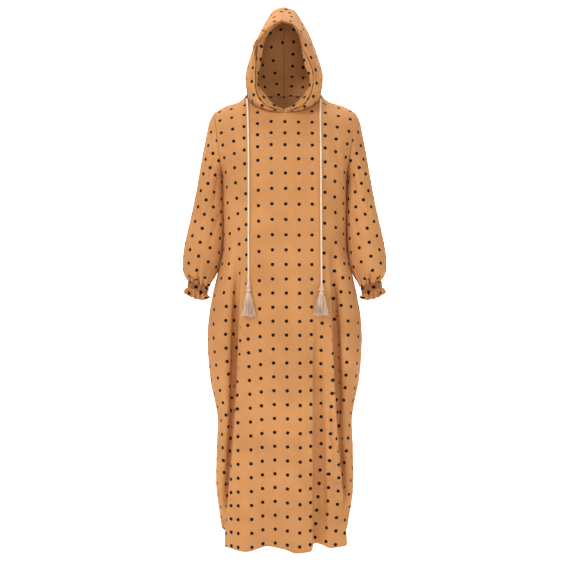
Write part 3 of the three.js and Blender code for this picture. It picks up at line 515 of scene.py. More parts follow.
# Long folds: x at the top, x at the hem, height where it starts and where it is full, depth
# (above 0 is a trough), width towards the middle, width towards the side, lean of its crest.
FOLDS = {
    "front": [
        (-136, -184, -430, -640, 30, 15, 19, 9), (146, 190, -400, -640, 28, 15, 19, 9),
        (97, 103, -620, -1250, 32, 9, 20, -5), (-52, -50, -900, -1360, 10, 26, 26, 0),
        (40, 40, -900, -1360, -7, 26, 26, 0), (-118, -122, -800, -1360, -7, 24, 24, 0),
    ],
    "back": [
        (-140, -180, -420, -660, 27, 16, 20, 8), (138, 178, -440, -640, 29, 16, 20, 8),
        (-70, -82, -600, -1250, 22, 13, 17, 4), (62, 70, -700, -1300, 16, 15, 19, 3),
        (-8, -6, -820, -1360, -10, 30, 30, 0),
    ],
}

# How far the hem waves up from its plain line, by x
HEM_WAVE = {
    "front": [(-210, 6), (-182, 4), (-117, -2), (-48, 14), (-3, 8), (39, -4), (80, -1), (94, 17), (112, 13),
              (146, 4), (177, 5), (205, 6)],
    "back": [(-205, 4), (-150, 12), (-96, 2), (-40, 10), (10, 0), (64, 11), (120, 3), (170, 12), (205, 4)],
}

# Soft creases pressed or pulled into the cloth: start x and height, end x and height, how far
# the line bows, depth (below 0 is a ridge), width.
CREASES = {
    "front": [
        (-143, -540, -193, -1360, 11, 23, 8), (-132, -560, -184, -1360, 11, -6, 6),
        (148, -540, 198, -1360, -8, 23, 8), (138, -560, 189, -1360, -8, -6, 6),
        (103, -680, 114, -1380, 0, 14, 15), (88, -680, 84, -1380, 0, -3.5, 5),
        (-150, -95, -172, -205, 6, 2.6, 9), (-163, -120, -176, -250, -5, -1.6, 8),
        (150, -95, 172, -205, -6, 2.4, 9), (160, -130, 178, -262, 5, -1.6, 8),
        (-128, -210, -150, -470, -8, 3.6, 16), (-150, -330, -170, -560, 6, -2.8, 13),
        (136, -215, 158, -480, 9, 3.2, 17), (152, -300, 176, -540, -6, -2.6, 13),
        (-84, -120, -96, -420, 4, 2.0, 14), (82, -130, 92, -430, -5, 2.0, 15),
        (-30, -330, -34, -900, 6, -1.6, 22), (26, -380, 30, -980, -5, 1.5, 20),
        (70, -560, 82, -900, 3, 2.4, 12), (-96, -620, -104, -1180, -4, 2.2, 16),
        (128, -860, 150, -1120, 8, 4.0, 9), (116, -1000, 172, -1085, 5, 5.0, 5),
        (118, -1085, 176, -1130, 3, 4.0, 4.5), (124, -1120, 184, -1180, -6, 5.0, 5),
        (132, -1195, 192, -1250, 5, 4.5, 5), (128, -1262, 184, -1290, 3, 3.0, 5),
        (-190, -900, -214, -1060, 6, 2.8, 9), (-176, -1120, -208, -1180, -5, 2.4, 8),
        (186, -1010, 214, -1120, -6, 3.0, 9), (192, -1150, 214, -1215, 5, 2.4, 8),
        (-20, -1140, 0, -1345, 5, 1.8, 22), (60, -1180, 66, -1350, -4, -2.2, 18),
    ],
    "back": [
        (-146, -560, -184, -1330, 6, 16, 9), (144, -580, 182, -1330, -6, 16, 9),
        (-150, -95, -172, -215, 6, 2.6, 9), (150, -100, 170, -210, -6, 2.6, 9),
        (-120, -210, -148, -470, -8, 4.2, 15), (122, -205, 150, -470, 8, 4.2, 15),
        (-60, -160, -72, -520, 5, 2.2, 16), (58, -180, 66, -560, -5, 2.2, 16),
        (-24, -420, -30, -960, 6, -1.8, 22), (22, -520, 26, -1100, -5, 1.8, 20),
        (-110, -760, -140, -1010, 8, 3.0, 12), (104, -820, 134, -1080, -7, 3.0, 12),
        (-128, -1060, -182, -1130, 5, 2.6, 9), (122, -1120, 178, -1190, -5, 2.6, 9),
        (0, -1180, 12, -1345, 4, 1.8, 22),
    ],
}

# share of the seam from the neck, x, y, z
SHOULDER_SEAM = [(0, 117, 5, 27), (0.14, 127, 4, 14), (0.3, 143, 3, 3), (0.65, 180, 1, -9), (1, 217, 0, -30)]

# share up, edge x left and right, edge y and z, side x, y and z, back y and z
HOOD_ROWS = [
    (0, 0, 0, -84, -41, 117, 5, 27, 70, 31), (0.05, 30, 26, -97, -35, 116, 4, 36, 76, 44),
    (0.1, 55, 52, -100, -27, 117, 3, 45, 83, 57), (0.15, 70, 69, -102, -13, 119, 2, 54, 90, 69),
    (0.2, 80, 81, -103, 4, 121, 1, 63, 98, 82), (0.3, 90, 89, -103, 38, 121.5, 0, 82, 112, 107),
    (0.4, 91, 89, -102, 72, 118, 0, 104, 121, 134), (0.5, 84, 87, -100, 102, 111, 0, 129, 125, 160),
    (0.6, 70, 88, -98, 130, 102, 2, 156, 124, 186), (0.7, 57, 90, -95, 157, 92, 4, 184, 118, 212),
    (0.8, 57, 65, -93, 187, 76, 5, 221, 106, 238), (0.9, 46, 34, -89, 216, 53, 7, 261, 86, 262),
    (0.95, 32, 17, -87, 230, 31, 7.5, 291, 72, 277), (1, 0, 0, -85, 240, 0, 8, 302, 58, 286),
]

# The hood's peak leans to the wearer's right
PEAK = {"shift": -8.0, "bottom": 150.0, "height": 90.0, "back": -10.0, "depth": 70.0}

def hood_points(sign, turn_share, share):
    """Hood surface: turn_share 0 at the face edge, 0.5 at the side, 1 at the back seam, along
    two quarter ellipses; share 0 at the neck seam, 1 at the crown seam."""
    turn_share, share = np.broadcast_arrays(np.asarray(turn_share, float), np.asarray(share, float))
    row = look_up(HOOD_ROWS, share)
    edge_x = row[..., 0] if sign > 0 else row[..., 1]
    edge_y, edge_z, side_x, side_y, side_z, back_y, back_z = (row[..., k] for k in range(2, 9))
    front = turn_share < 0.5
    turn = np.where(front, turn_share * 2, turn_share * 2 - 1) * math.pi / 2
    x = np.where(front, lerp(edge_x, side_x, np.sin(turn)), side_x * np.cos(turn))
    y = np.where(front, lerp(side_y, edge_y, np.cos(turn)), lerp(side_y, back_y, np.sin(turn)))
    z = np.where(front, lerp(edge_z, side_z, 1 - np.cos(turn)), lerp(side_z, back_z, np.sin(turn)))
    return np.stack([x * sign + peak_shift(y, z), y, z], axis=-1)

def peak_shift(y, z):
    above = smooth((z - PEAK["bottom"]) / PEAK["height"])
    return PEAK["shift"] * above * smooth((PEAK["back"] - y) / PEAK["depth"])

def section_levels(side, u, heights):
    """Points of the plain body sections, evenly spaced along the cloth: the outline is
    x = a sin^(2/n), y = b cos^(2/n), measured out from the middle."""
    turn = np.linspace(0, math.pi / 2, 500)
    xs, ys = [], []
    for width, front, back, square in look_up(BODY_LEVELS, heights):
        x = width * np.sin(turn) ** (2 / square)
        y = (front if side == "front" else back) * np.clip(np.cos(turn), 0, 1) ** (2 / square)
        length = path_length(np.stack([x, y], axis=1))
        at = np.abs(u) * length[-1]
        xs.append(np.sign(u) * np.interp(at, length, x))
        ys.append(TOWARD[side] * np.interp(at, length, y))
    return np.array(xs), np.array(ys)

def lower_points(side, u, z):
    """The panel below the underarm: the plain section, pushed along its normal by the long
    folds, whose crests lean over their troughs, more so near the hem."""
    heights = np.linspace(-1370, UNDERARM, 90)
    level_x, level_y = section_levels(side, u, heights)
    place = (z - heights[0]) / (heights[1] - heights[0])
    k = np.clip(place.astype(int), 0, len(heights) - 2)
    t = np.clip(place - k, 0, 1)
    column = np.broadcast_to(np.arange(len(u)), z.shape)
    x, y = (lerp(level[k, column], level[k + 1, column], t) for level in (level_x, level_y))
    dx, dy = np.gradient(x, axis=1), np.gradient(y, axis=1)
    size = np.hypot(dx, dy)
    normal_x, normal_y = np.sign(x) * np.abs(dy) / size, TOWARD[side] * np.abs(dx) / size
    push, lean = np.zeros_like(z), np.zeros_like(z)
    for x_top, x_hem, z_top, z_full, depth, inner, outer, crest_lean in FOLDS[side]:
        line = lerp(x_top, x_hem, np.clip((z_top - z) / (z_top - HEM[side]), 0, 1))
        strength = smooth((z_top - z) / (z_top - z_full))
        outside = np.sign(line)
        width = np.where((x - line) * outside > 0, outer, inner)
        push -= depth * strength * bell((x - line) / width)
        half = (inner + outer) / 2
        flare = 1 + 1.2 * smooth((FLARE_FROM - z) / 240) * (crest_lean > 5)
        lean += outside * crest_lean * flare * strength * bell((x - line + outside * half) / half)
    fade = 1 - smooth((np.abs(u)[None] - FOLD_FADE) / (1 - FOLD_FADE))
    return np.stack([x + fade * (push * normal_x + lean), y + fade * push * normal_y, z], axis=-1)

def top_points(side, u):
    """The panel's top edge: the neck seam, then the shoulder seam."""
    share = np.abs(u)
    turn = np.clip(share / NECK_SHARE, 0, 1) * 0.5
    neck = hood_points(1, turn if side == "front" else 1 - turn, 0.0)
    seam = look_up(SHOULDER_SEAM, (share - NECK_SHARE) / (1 - NECK_SHARE))
    points = np.where((share <= NECK_SHARE)[:, None], neck, seam)
    points[:, 0] *= np.where(u < 0, -1.0, 1.0)
    return points

def upper_points(side, u, v):
    """The panel above the underarm, from its section there to the top edge; the side edge
    follows the armhole, whose depth is ARMHOLE_HALF_DEPTH sin(pi v)."""
    bottom = lower_points(side, u, np.full((1, len(u)), UNDERARM))[0]
    top = top_points(side, u)
    v = v[:, None]
    rise = lerp(v, (1 - np.cos(math.pi * v)) / 2, u[None] ** 4)
    armhole = ARMHOLE_HALF_DEPTH * np.sin(math.pi * v)
    x, y, z = (lerp(bottom[None, :, k], top[None, :, k], rise ** power) for k, power in enumerate((1, 2, 1)))
    half = len(u) // 2
    middle = TOWARD[side] * lerp(bottom[half, 1], top[half, 1], v ** 2)
    return np.stack([x, TOWARD[side] * armhole + y * (1 - armhole / middle), z], axis=-1)

def crease_push(lines, x, z, over=0.08, soft=0.35):
    """Troughs along bowed lines: each is a bell across its line, fading in and out along it."""
    push = np.zeros_like(x)
    for x0, z0, x1, z1, bow, depth, width in lines:
        length = math.hypot(x1 - x0, z1 - z0)
        ux, uz = (x1 - x0) / length, (z1 - z0) / length
        t = ((x - x0) * ux + (z - z0) * uz) / length
        off = (x - x0) * -uz + (z - z0) * ux - bow * np.sin(math.pi * np.clip(t, 0, 1))
        push -= depth * span(t, over, soft) * bell(off / width)
    return push

# Height and size of the slow swell of hanging cloth
SWELL = {"body": (1.5, 34.0), "sleeve": (2.2, 30.0), "hood": (1.3, 26.0)}

def drift(part, x, z, seed):
    """A slow uneven swell: five long waves of set directions, summed."""
    height, scale = SWELL[part]
    rng = np.random.default_rng(seed)
    swell = 0
    for _ in range(5):
        across, up, phase = rng.uniform(0.6, 1.6), rng.uniform(-0.35, 0.35), rng.uniform(0, 6.3)
        swell = swell + np.sin((x * across + z * up) / scale + phase)
    return height * (swell / 5)

# The print on the front. Heights of its rows down the middle, from row -3; places of its
# columns -5 to 5 across, at each height; how far past column 4 the next four lie along the
# cloth, on each side; and how far below the middle one each column's dots hang, -8 to 8.
FRONT_ROWS = [56, 14, -28, -69.5, -106, -143, -185, -229.5, -276, -323, -370, -416.5, -462, -506, -550,
              -592, -634.8]
ROW_PITCH = 41.8
FRONT_COLUMNS = [
    (-30, -200, -163, -122, -81, -39, 3, 44, 85, 126, 165, 205),
    (-140, -189, -153, -121, -80, -39, 3, 44, 86, 124, 155, 188),
    (-275, -172, -148, -117, -78, -37, 5, 46, 86, 124, 153, 168),
    (-415, -172, -137, -114, -76, -35, 6, 46, 85, 122, 155, 182),
    (-560, -156, -134, -112, -74, -34, 7, 47, 84, 119, 150, 172),
    (-765, -150, -142, -107, -71, -32, 8, 48, 82, 112, 146, 158),
    (-1015, -163, -139, -100, -66, -28, 11, 49, 80, 107, 140, 167),
    (-1320, -170, -137, -96, -63, -26, 10, 47, 79, 94, 124, 155),
]
SIDE_COLUMNS = {
    -1: [
        (-70, 38, 80, 122, 164), (-300, 38, 80, 122, 164), (-450, 37, 75, 118, 160),
        (-600, 32, 66, 118, 160), (-700, 30, 62, 112, 155), (-800, 29, 61, 104, 147),
        (-900, 27, 54, 90, 132), (-1030, 25, 46, 69, 95), (-1110, 25, 46, 67, 91), (-1250, 25, 46, 67, 89),
        (-1360, 25, 46, 67, 89),
    ],
    1: [
        (-70, 38, 80, 122, 164), (-300, 38, 80, 122, 164), (-450, 37, 66, 106, 148),
        (-600, 20, 52, 102, 144), (-700, 30, 72, 119, 160), (-900, 32, 71, 113, 155),
        (-1000, 32, 66, 105, 148), (-1100, 30, 60, 92, 134), (-1180, 30, 58, 87, 124),
        (-1360, 30, 60, 90, 131),
    ],
}
FRONT_DROOP = [
    (-70, 60, 50, 40, 32, 22, 16, 6, -1, 0, 1, 1, 8, 15, 26, 40, 50, 60),
    (-323, 62, 52, 44, 40, 28, 15, 5, 0, 0, 1, 0, 11, 24, 42, 44, 54, 64),
    (-560, 58, 50, 41, 42, 26, 14, 5, 0, 0, 1, 0, 8, 18, 40, 41, 48, 58),
    (-765, 60, 54, 41, 42, 16, 12, 5, 0, 0, 1, -2, 5, 14, 34, 44, 50, 60),
    (-930, 58, 42, 28, 32, 14, 11, 3, -1, 0, 2, -1, -1, 8, 25, 34, 36, 58),
    (-1060, 55, 24, 22, 24, 13, 10, 2, -2, 0, 3, -1, -5, 4, 19, 28, 24, 51),
    (-1180, 42, 22, 20, 16, 12, 9, 0, -4, 0, 4, 0, -10, 0, 12, 24, 12, 33),
    (-1320, 25, 20, 15, 8, 10, 8, -2, -5, 0, 5, 0, -15, -5, 5, 15, 12, 40),
]
BACK_PITCH = 43.0

def row_of(height):
    """Row number of the print at a height in the middle of the front."""
    keys = np.array(FRONT_ROWS + [FRONT_ROWS[-1] - ROW_PITCH * k for k in range(1, 22)])
    return np.interp(-height, -keys, np.arange(len(keys)) - 3.0)

def steps_between(places, value):
    """How many of the rising places a value has passed, with its share of the next step."""
    passed = np.zeros(value.shape)
    for k in range(places.shape[-1] - 1):
        passed += np.clip((value - places[..., k]) / (places[..., k + 1] - places[..., k]), 0, 1)
    return passed

def front_print(points):
    """Print map of the front. Columns go by their places across it as far as column 4, then by
    distance along the cloth. Rows go by height, and by distance above the armpits, and hang
    lower towards the sides."""
    x, z = points[..., 0], points[..., 2]
    middle = points.shape[1] // 2
    length = along_rows(points)
    length = length - length[:, middle:middle + 1]
    column = steps_between(look_up(FRONT_COLUMNS, z), x) - 5
    rows = np.arange(len(x))
    for way in (-1, 1):
        cols = np.arange(middle, points.shape[1]) if way > 0 else np.arange(middle, -1, -1)
        count, far = way * column[:, cols], way * length[:, cols]
        k = np.maximum(np.argmax(count >= 4, axis=1), 1)
        part = (4 - count[rows, k - 1]) / np.maximum(count[rows, k] - count[rows, k - 1], 1e-6)
        past = far - lerp(far[rows, k - 1], far[rows, k], np.clip(part, 0, 1))[:, None]
        places = look_up(SIDE_COLUMNS[way], z[:, cols])
        places = np.concatenate([0 * places[..., :1], places], axis=-1)
        counted = 4 + steps_between(places, past) + np.maximum(past - places[..., -1], 0) / DOT["pitch"]
        column[:, cols] = way * np.where(past > 0, counted, np.minimum(count, 4))
    rise = along_columns(points)
    level = np.argmax(z[:, middle] > PRINT_TURNS)
    height = np.where(rows[:, None] < level, z, z[level] + rise - rise[level])
    inside = np.clip(column, -7.999, 7.999) + 8
    low = np.floor(inside).astype(int)
    j, i = np.indices(x.shape)
    droop_at = look_up(FRONT_DROOP, z)
    droop = lerp(droop_at[j, i, low], droop_at[j, i, low + 1], inside - low)
    return print_map(column, row_of(height + droop))

def back_print(points):
    """Print map of the back: distance along the cloth, from the middle and from the nape."""
    middle = points.shape[1] // 2
    length, rise = along_rows(points), along_columns(points)
    column, row = length - length[:, middle:middle + 1], rise[-1, middle] - rise[:, middle:middle + 1]
    return print_map(column / BACK_PITCH, row / BACK_PITCH)

def body_panel(side, nodes, make_print, columns, rows_below, rows_above, seed):
    """A panel with its folds, hem waves, creases and swell; its seams draw the cloth in."""
    u = np.linspace(-1, 1, columns)
    hem = lerp(HEM[side], HEM["side"], np.abs(u) ** HEM["rise"])
    below = lower_points(side, u, lerp(hem[None], UNDERARM, np.linspace(0, 1, rows_below)[:, None]))
    points = np.concatenate([below, upper_points(side, u, np.linspace(0, 1, rows_above))[1:]])
    heart = points * np.array([0, 0, 1.0])
    heart[..., 2] = np.minimum(heart[..., 2], -70)
    normals = grid_normals(points, points - heart)
    wave = look_up(HEM_WAVE[side], points[..., 0])[..., 0]
    points[..., 2] += wave * smooth((WAVES_FROM - points[..., 2]) / 170)
    x, z = points[..., 0], points[..., 2]
    calm = smooth((CALM_FROM - z) / 200)
    push = crease_push(CREASES[side], x, z) + calm * drift("body", x, z, seed)
    prints = make_print(points)
    points = pushed(points, normals, push * smooth((1 - np.abs(u)[None]) / 0.06))
    length, rise = along_rows(points), along_columns(points)
    from_side = np.minimum(length, length[:, -1:] - length)
    points = pushed(points, normals, seam_dip(from_side, 1.0) + seam_dip(rise[-1:] - rise, 0.8))
    cloth_piece(f"{side}_cloth", nodes, points, prints, points - heart)

FRONT_NODES = ["front_panel_chest", "front_panel_waist", "front_panel_skirt"]
body_panel("front", FRONT_NODES, front_print, columns=241, rows_below=150, rows_above=52, seed=11)
body_panel("back", ["back_panel"], back_print, columns=181, rows_below=130, rows_above=46, seed=12)

# ------------------------------------------------------------------ sleeves and cuffs

# inner x and z, outer x and z, half depth, swing forward
SLEEVE_RINGS = [
    (190, -232, 217, -30, 68, 0), (192.5, -239, 231, -56, 66, 0), (194.5, -245, 242, -106, 62, 2),
    (196, -252, 253, -162, 58, 4), (196.5, -270, 264, -226, 55, 7), (196, -312, 277, -300, 55, 10),
    (195.5, -362, 291, -366, 58, 13), (197, -415, 304, -422, 62, 15), (200, -465, 312.5, -472, 65, 17),
    (209, -510, 314.5, -512, 63, 18), (220, -543, 309, -536, 53, 18), (229, -564, 300, -546, 40, 18),
    (232.5, -573, 295.5, -550, 33, 18),
]
# the same, then the height of the ruffle's waves
CUFF_RINGS = [
    (232.5, -573, 295.5, -550, 33, 18, 0), (234, -578, 296.4, -555.5, 32.5, 18, 0),
    (235.6, -583, 296.4, -560.5, 32, 18, 0), (237, -588, 296.6, -565.5, 31.5, 18, 0),
    (238.4, -593, 296.8, -570.5, 31, 18, 0), (239.6, -597, 297.4, -575, 31, 18, 1),
    (238.5, -603, 303, -583, 34, 18, 3.4), (236.5, -610.5, 305.5, -594, 36, 18, 4.6),
]

SLEEVE_PRINT = {"first_turn": 126.0, "turn_step": 32.5, "slant": 0.57, "slant_fall": 0.045}
# heights of the print's rows down the sleeve, at its first column
SLEEVE_ROWS = [-60, -98, -139, -181, -226, -278, -328, -373, -417, -460, -501, -542, -582]
# Soft creases on a sleeve: turn in degrees and place down it at the start and at the end, depth,
# width in degrees
SLEEVE_CREASES = [
    (70, 1.2, 96, 4.6, 3.0, 9), (40, 2.0, 62, 5.6, 2.6, 9), (118, 3.0, 100, 6.4, 2.2, 8),
    (60, 5.0, 112, 6.2, 2.4, 8), (84, 6.4, 132, 7.4, 2.2, 8), (34, 5.6, 70, 7.8, 2.6, 9),
    (250, 1.5, 272, 5.2, 3.0, 9), (300, 2.4, 284, 6.6, 2.6, 9), (230, 5.4, 268, 7.2, 2.4, 8),
    (318, 5.0, 300, 8.0, 2.4, 8), (200, 3.6, 214, 7.0, 2.0, 9),
]
# Gathers that run up from the cuff: turn in degrees, how far up they reach, depth, width in degrees
GATHERS = [(12, 2.2, 8, 6), (37, 3.2, 10, 7), (63, 2.4, 9, 6), (86, 4.0, 12, 7), (109, 2.6, 10, 6),
           (131, 3.4, 11, 6.5), (156, 2.3, 8, 6), (181, 3.0, 9, 7), (208, 2.4, 9, 6), (232, 3.6, 11, 7),
           (258, 2.5, 9, 6), (283, 3.2, 10, 7), (309, 2.6, 9, 6), (336, 3.4, 10, 7)]

def ring_points(sign, rings, turn):
    """Rings round an arm, slanted ellipses with turn 0 nearest the body and pi furthest out, and
    the ways out from their middles."""
    in_x, in_z, out_x, out_z, depth, forward = (rings[:, k, None] for k in range(6))
    across = -np.cos(turn)
    x = (in_x + out_x) / 2 + (out_x - in_x) / 2 * across
    z = (in_z + out_z) / 2 + (out_z - in_z) / 2 * across
    points = np.stack([sign * x, -np.sin(turn) * depth - forward, z], axis=-1)
    return points, points - points[:, :-1].mean(axis=1, keepdims=True)

def degrees_from(turn, degrees):
    return (degrees - turn + 180) % 360 - 180

# How far a sleeve's inner side lies over against the body, by height
BESIDE_BODY = [(-232, 0), (-250, 7.5), (-300, 9), (-415, 9), (-465, 8.5), (-510, 9.5), (-540, 8), (-566, 1),
               (-600, 0)]

def sleeve(side, sign, rows=136, columns=133):
    """A full sleeve with slanting creases, gathers that run up from the cuff, and a slow swell.
    Its print slants up round the arm, and is counted down it at its first column."""
    last = len(SLEEVE_RINGS) - 1
    down = np.linspace(0, last, rows)[:, None]
    turn = np.linspace(0, 2 * math.pi, columns)
    degrees = np.degrees(turn)[None]
    points, outward = ring_points(sign, through(np.arange(last + 1), SLEEVE_RINGS, down[:, 0]), turn)
    normals = closed_normals(points, outward)
    push = np.zeros((rows, columns))
    for turn0, start, turn1, end, depth, width in SLEEVE_CREASES:
        part = (down - start) / (end - start)
        line = lerp(turn0, turn1, part) + (7 if sign > 0 else 0)
        push -= depth * bell(degrees_from(line, degrees) / width) * span(part, 0.1, 0.4)
    for turn0, reach, depth, width in GATHERS:
        gap = degrees_from(turn0 + (5 * math.sin(turn0) if sign > 0 else 0), degrees)
        strength = smooth((down - (last - reach)) / reach) * smooth((last - down) / 0.5 + 0.35)
        push += 1.7 * depth * strength * (0.5 * bell(gap / (2 * width)) - bell(gap / (0.85 * width)))
    bulge = drift("sleeve", degrees * 1.2, down * 34, 21 if sign > 0 else 22)
    push = (push + bulge * smooth(down / 2) * smooth((last - down) / 1.5)) * smooth(down / 0.8)
    push[:, -1] = push[:, 0]
    points = pushed(points, normals, push)
    beside = bell(degrees_from(0, degrees) / 48) * look_up(BESIDE_BODY, points[..., 2])[..., 0]
    points[..., 0] -= sign * beside
    fall = along_columns(points)
    points = pushed(points, normals, seam_dip(fall, 1.0) + seam_dip(fall[-1:] - fall, 0.8, 2.5))
    column = (SLEEVE_PRINT["first_turn"] - degrees) / SLEEVE_PRINT["turn_step"]
    first, level = round(columns * SLEEVE_PRINT["first_turn"]) // 360, (rows - 1) * 5 // last
    counted = np.interp(-points[:, first, 2], -np.array(SLEEVE_ROWS, float), np.arange(len(SLEEVE_ROWS)))
    above = fall[level] - fall
    row = np.where(above > 0, np.interp(above, above[::-1, first], counted[::-1]), counted[:, None])
    row = row - SLEEVE_PRINT["slant"] * column + SLEEVE_PRINT["slant_fall"] * column * np.abs(column)
    prints = print_map(column, row)
    cloth_piece(f"sleeve_{side}_cloth", [f"sleeve_{side}"], points, prints, outward)

# The print on a cuff: repeats round the gathered cloth, repeats to a ring, and how each column steps down
CUFF_PRINT = {"round": 11.0, "down": 5.2 / 30, "first": 0.42, "step": 0.37}
FLUTES = 14

def cuff(side, sign, rows=64, columns=281):
    """The smocked band, drawn in along its elastic rows with puckers between, and the ruffle,
    whose waves grow towards its edge."""
    down = np.linspace(0, 7, rows)[:, None]
    turn = np.linspace(0, 2 * math.pi, columns)[None]
    rings = through(np.arange(8), CUFF_RINGS, down[:, 0])
    smooth_form, outward = ring_points(sign, rings, turn)
    normals = closed_normals(smooth_form, outward)
    uneven = 0.25 * np.sin(3 * turn + 1.0) + 0.2 * np.sin(5 * turn + (2.0 if sign > 0 else 0.5))
    wave = FLUTES * turn + uneven * 2
    flute = np.cos(wave)
    band = smooth(down / 0.4) * smooth((5.2 - down) / 0.6)
    drawn = np.cos(2 * math.pi * down) ** 2
    pucker = np.cos(2 * FLUTES * turn + math.pi * np.floor(down + 0.5) + 2 * uneven)
    puffs = 2.8 * (1 - drawn) + 2.6 * pucker * (0.35 + 0.65 * (1 - drawn))
    relief = band * (puffs - 3.0 * drawn ** 4 + 1.2 * flute)
    ripple = 0.5 * np.cos(2 * wave + 1.3) * smooth((down - 5) / 1.5)
    push = relief + 1.7 * rings[:, 6, None] * (flute + ripple * 0.4)
    edge_wave = 1.6 * np.sin(wave + 0.8) * smooth((down - 5.2) / 1.8)
    push[:, -1], edge_wave[:, -1] = push[:, 0], edge_wave[:, 0]
    points = pushed(smooth_form, normals, push)
    points[..., 2] += edge_wave - 8 * np.sin(turn) ** 2 * smooth((down - 4.8) / 2.2)
    points = pushed(points, normals, seam_dip(down, 0.8, 0.5))
    column = turn / (2 * math.pi) * CUFF_PRINT["round"]
    row = down * CUFF_PRINT["down"] + CUFF_PRINT["first"] + CUFF_PRINT["step"] * np.round(column)
    prints = print_map(column, row)
    cloth_piece(f"cuff_{side}_cloth", [f"cuff_{side}"], points, prints, outward,
                wall=CUFF_WALL, smooth_form=smooth_form)

for side, sign in (("left", 1), ("right", -1)):
    sleeve(side, sign)
    cuff(side, sign)

# ------------------------------------------------------------------ hood

# The casing's inner edge: share up, x left and right, y, z
CASING_ROWS = [
    (0, 1, 1, -74, -29), (0.05, 18, 16, -77, -24), (0.1, 34, 32, -77, -14), (0.15, 49, 47, -76, 0),
    (0.2, 63, 59, -73, 18), (0.25, 74, 72, -74, 34), (0.35, 78, 80, -78, 58), (0.5, 63, 71, -77, 104),
    (0.6, 57, 67, -76, 131), (0.7, 54, 63, -74, 158), (0.8, 51, 53, -72, 187), (0.9, 41, 28, -69, 215),
    (0.95, 29, 13, -67, 228), (1, 0, 0, -65, 237),
]

HOOD_HEART = np.array([0, 0, 110.0])
NAPE = 67

# Creases of the hood: start and end as (share round, share up), depth, width in mm
HOOD_CREASES = {
    1: [(0.08, 0.30, 0.10, 0.62, 2.6, 5), (0.16, 0.34, 0.20, 0.80, 2.0, 8), (0.02, 0.72, 0.30, 0.86, 2.4, 7),
        (0.30, 0.12, 0.62, 0.30, 2.4, 9), (0.45, 0.08, 0.80, 0.22, 2.2, 9), (0.12, 0.10, 0.40, 0.20, 2.2, 7),
        (0.60, 0.50, 0.85, 0.40, 1.8, 10)],
    -1: [(0.08, 0.30, 0.10, 0.60, 2.6, 5), (0.15, 0.40, 0.22, 0.78, 2.0, 8), (0.04, 0.70, 0.34, 0.84, 2.2, 7),
         (0.28, 0.12, 0.60, 0.32, 2.4, 9), (0.48, 0.10, 0.82, 0.24, 2.2, 9), (0.14, 0.10, 0.38, 0.22, 2.2, 7),
         (0.58, 0.52, 0.82, 0.44, 1.8, 10)],
}

# The print in each half: distance of its first column from the back seam at the nape, lean of
# that column, the repeats' width, height and fall, the height of its top row at the back, and
# how far its first row lies from the peak along the face edge
HOOD_PRINT = {
    -1: {"first": 22, "lean": 0.16, "width": 41, "height": 43.6, "top": 198.6, "fall": 13.5, "peak": 18},
    1: {"first": 24, "lean": 0.055, "width": 38, "height": 39.5, "top": 176.4, "fall": 4, "peak": 30},
}

CREASE_BOW = 4
# Stitching beside the face edge: how far from it on each side, and between which shares up
STITCHING = {"from_edge": {1: 8.0, -1: 12.0}, "start": 0.3, "end": 0.62}

def hood_half(side, sign):
    """A half hood with its creases, swell, and puckers where the casing is stitched down. Its
    print is counted from the back seam behind, and from the face edge in front."""
    share, around = np.meshgrid(np.linspace(0, 1, 200), np.linspace(0, 1, 109), indexing="ij")
    points = hood_points(sign, around, share)
    normals = grid_normals(points, points - HOOD_HEART)
    length, rise = along_rows(points), along_columns(points)
    total, from_top = length[:, -1:], rise[-1:] - rise
    wide, tall = total.mean(), rise[-1].mean()
    lines = [(a0 * wide, s0 * tall, a1 * wide, s1 * tall, CREASE_BOW, *size)
             for a0, s0, a1, s1, *size in HOOD_CREASES[sign]]
    push = crease_push(lines, around * wide, share * tall, 0.1, 0.3)
    push += drift("hood", length * 1.4, rise * 1.4, 31 if sign > 0 else 32) * smooth(length / 30)
    if sign < 0:
        push += brim_step(points[..., 0], points[..., 2]) * smooth((60 - length) / 40)
    teeth = np.abs(np.cos(rise / 3.1 + 0.1 * length + 0.7 * np.sin(rise / 17)))
    puckers = bell((length - STITCHING["from_edge"][sign]) / 6.5) * (5.5 * teeth - 4.4)
    puckers *= smooth((share - STITCHING["start"]) / 0.07) * smooth((STITCHING["end"] - share) / 0.07)
    calm = smooth(length / 3) * smooth((total - length) / 10) * smooth(rise / 8)
    dips = seam_dip(total - length, 0.9, 3.0) + seam_dip(rise, 0.8, 3.0) + seam_dip(from_top, 0.7, 3.0)
    smooth_form = pushed(points, normals, push * calm)
    points = pushed(smooth_form, normals, puckers * calm + dips)
    facts = HOOD_PRINT[sign]
    level = np.interp(facts["top"], points[:, -1, 2], rise[:, -1])
    first = facts["first"] + facts["lean"] * (points[:, -1:, 2] - NAPE)
    back_column = (total - length - first) / facts["width"]
    back_row = (level - rise[:, -1:] - facts["fall"] * back_column) / facts["height"]
    edge_column = np.round((wide - facts["first"]) / facts["width"]) - (length - 11) / DOT["pitch"]
    edge_row = (from_top[:, :1] - facts["peak"]) / DOT["pitch"]
    edge_row = edge_row - np.round((rise[-1, 0] - level) / DOT["pitch"])
    blend = smooth((around - 0.3) / 0.45)
    prints = print_map(lerp(edge_column, back_column, blend), lerp(edge_row, back_row, blend))
    cloth_piece(f"hood_{side}_cloth", [f"hood_{side}"], points, prints, points - HOOD_HEART,
                smooth_form=smooth_form)

# The wearer's right side of the brim turns outwards above this line, given by two points (x, z)
BRIM_LINE = ((-34, 213), (-87, 160))

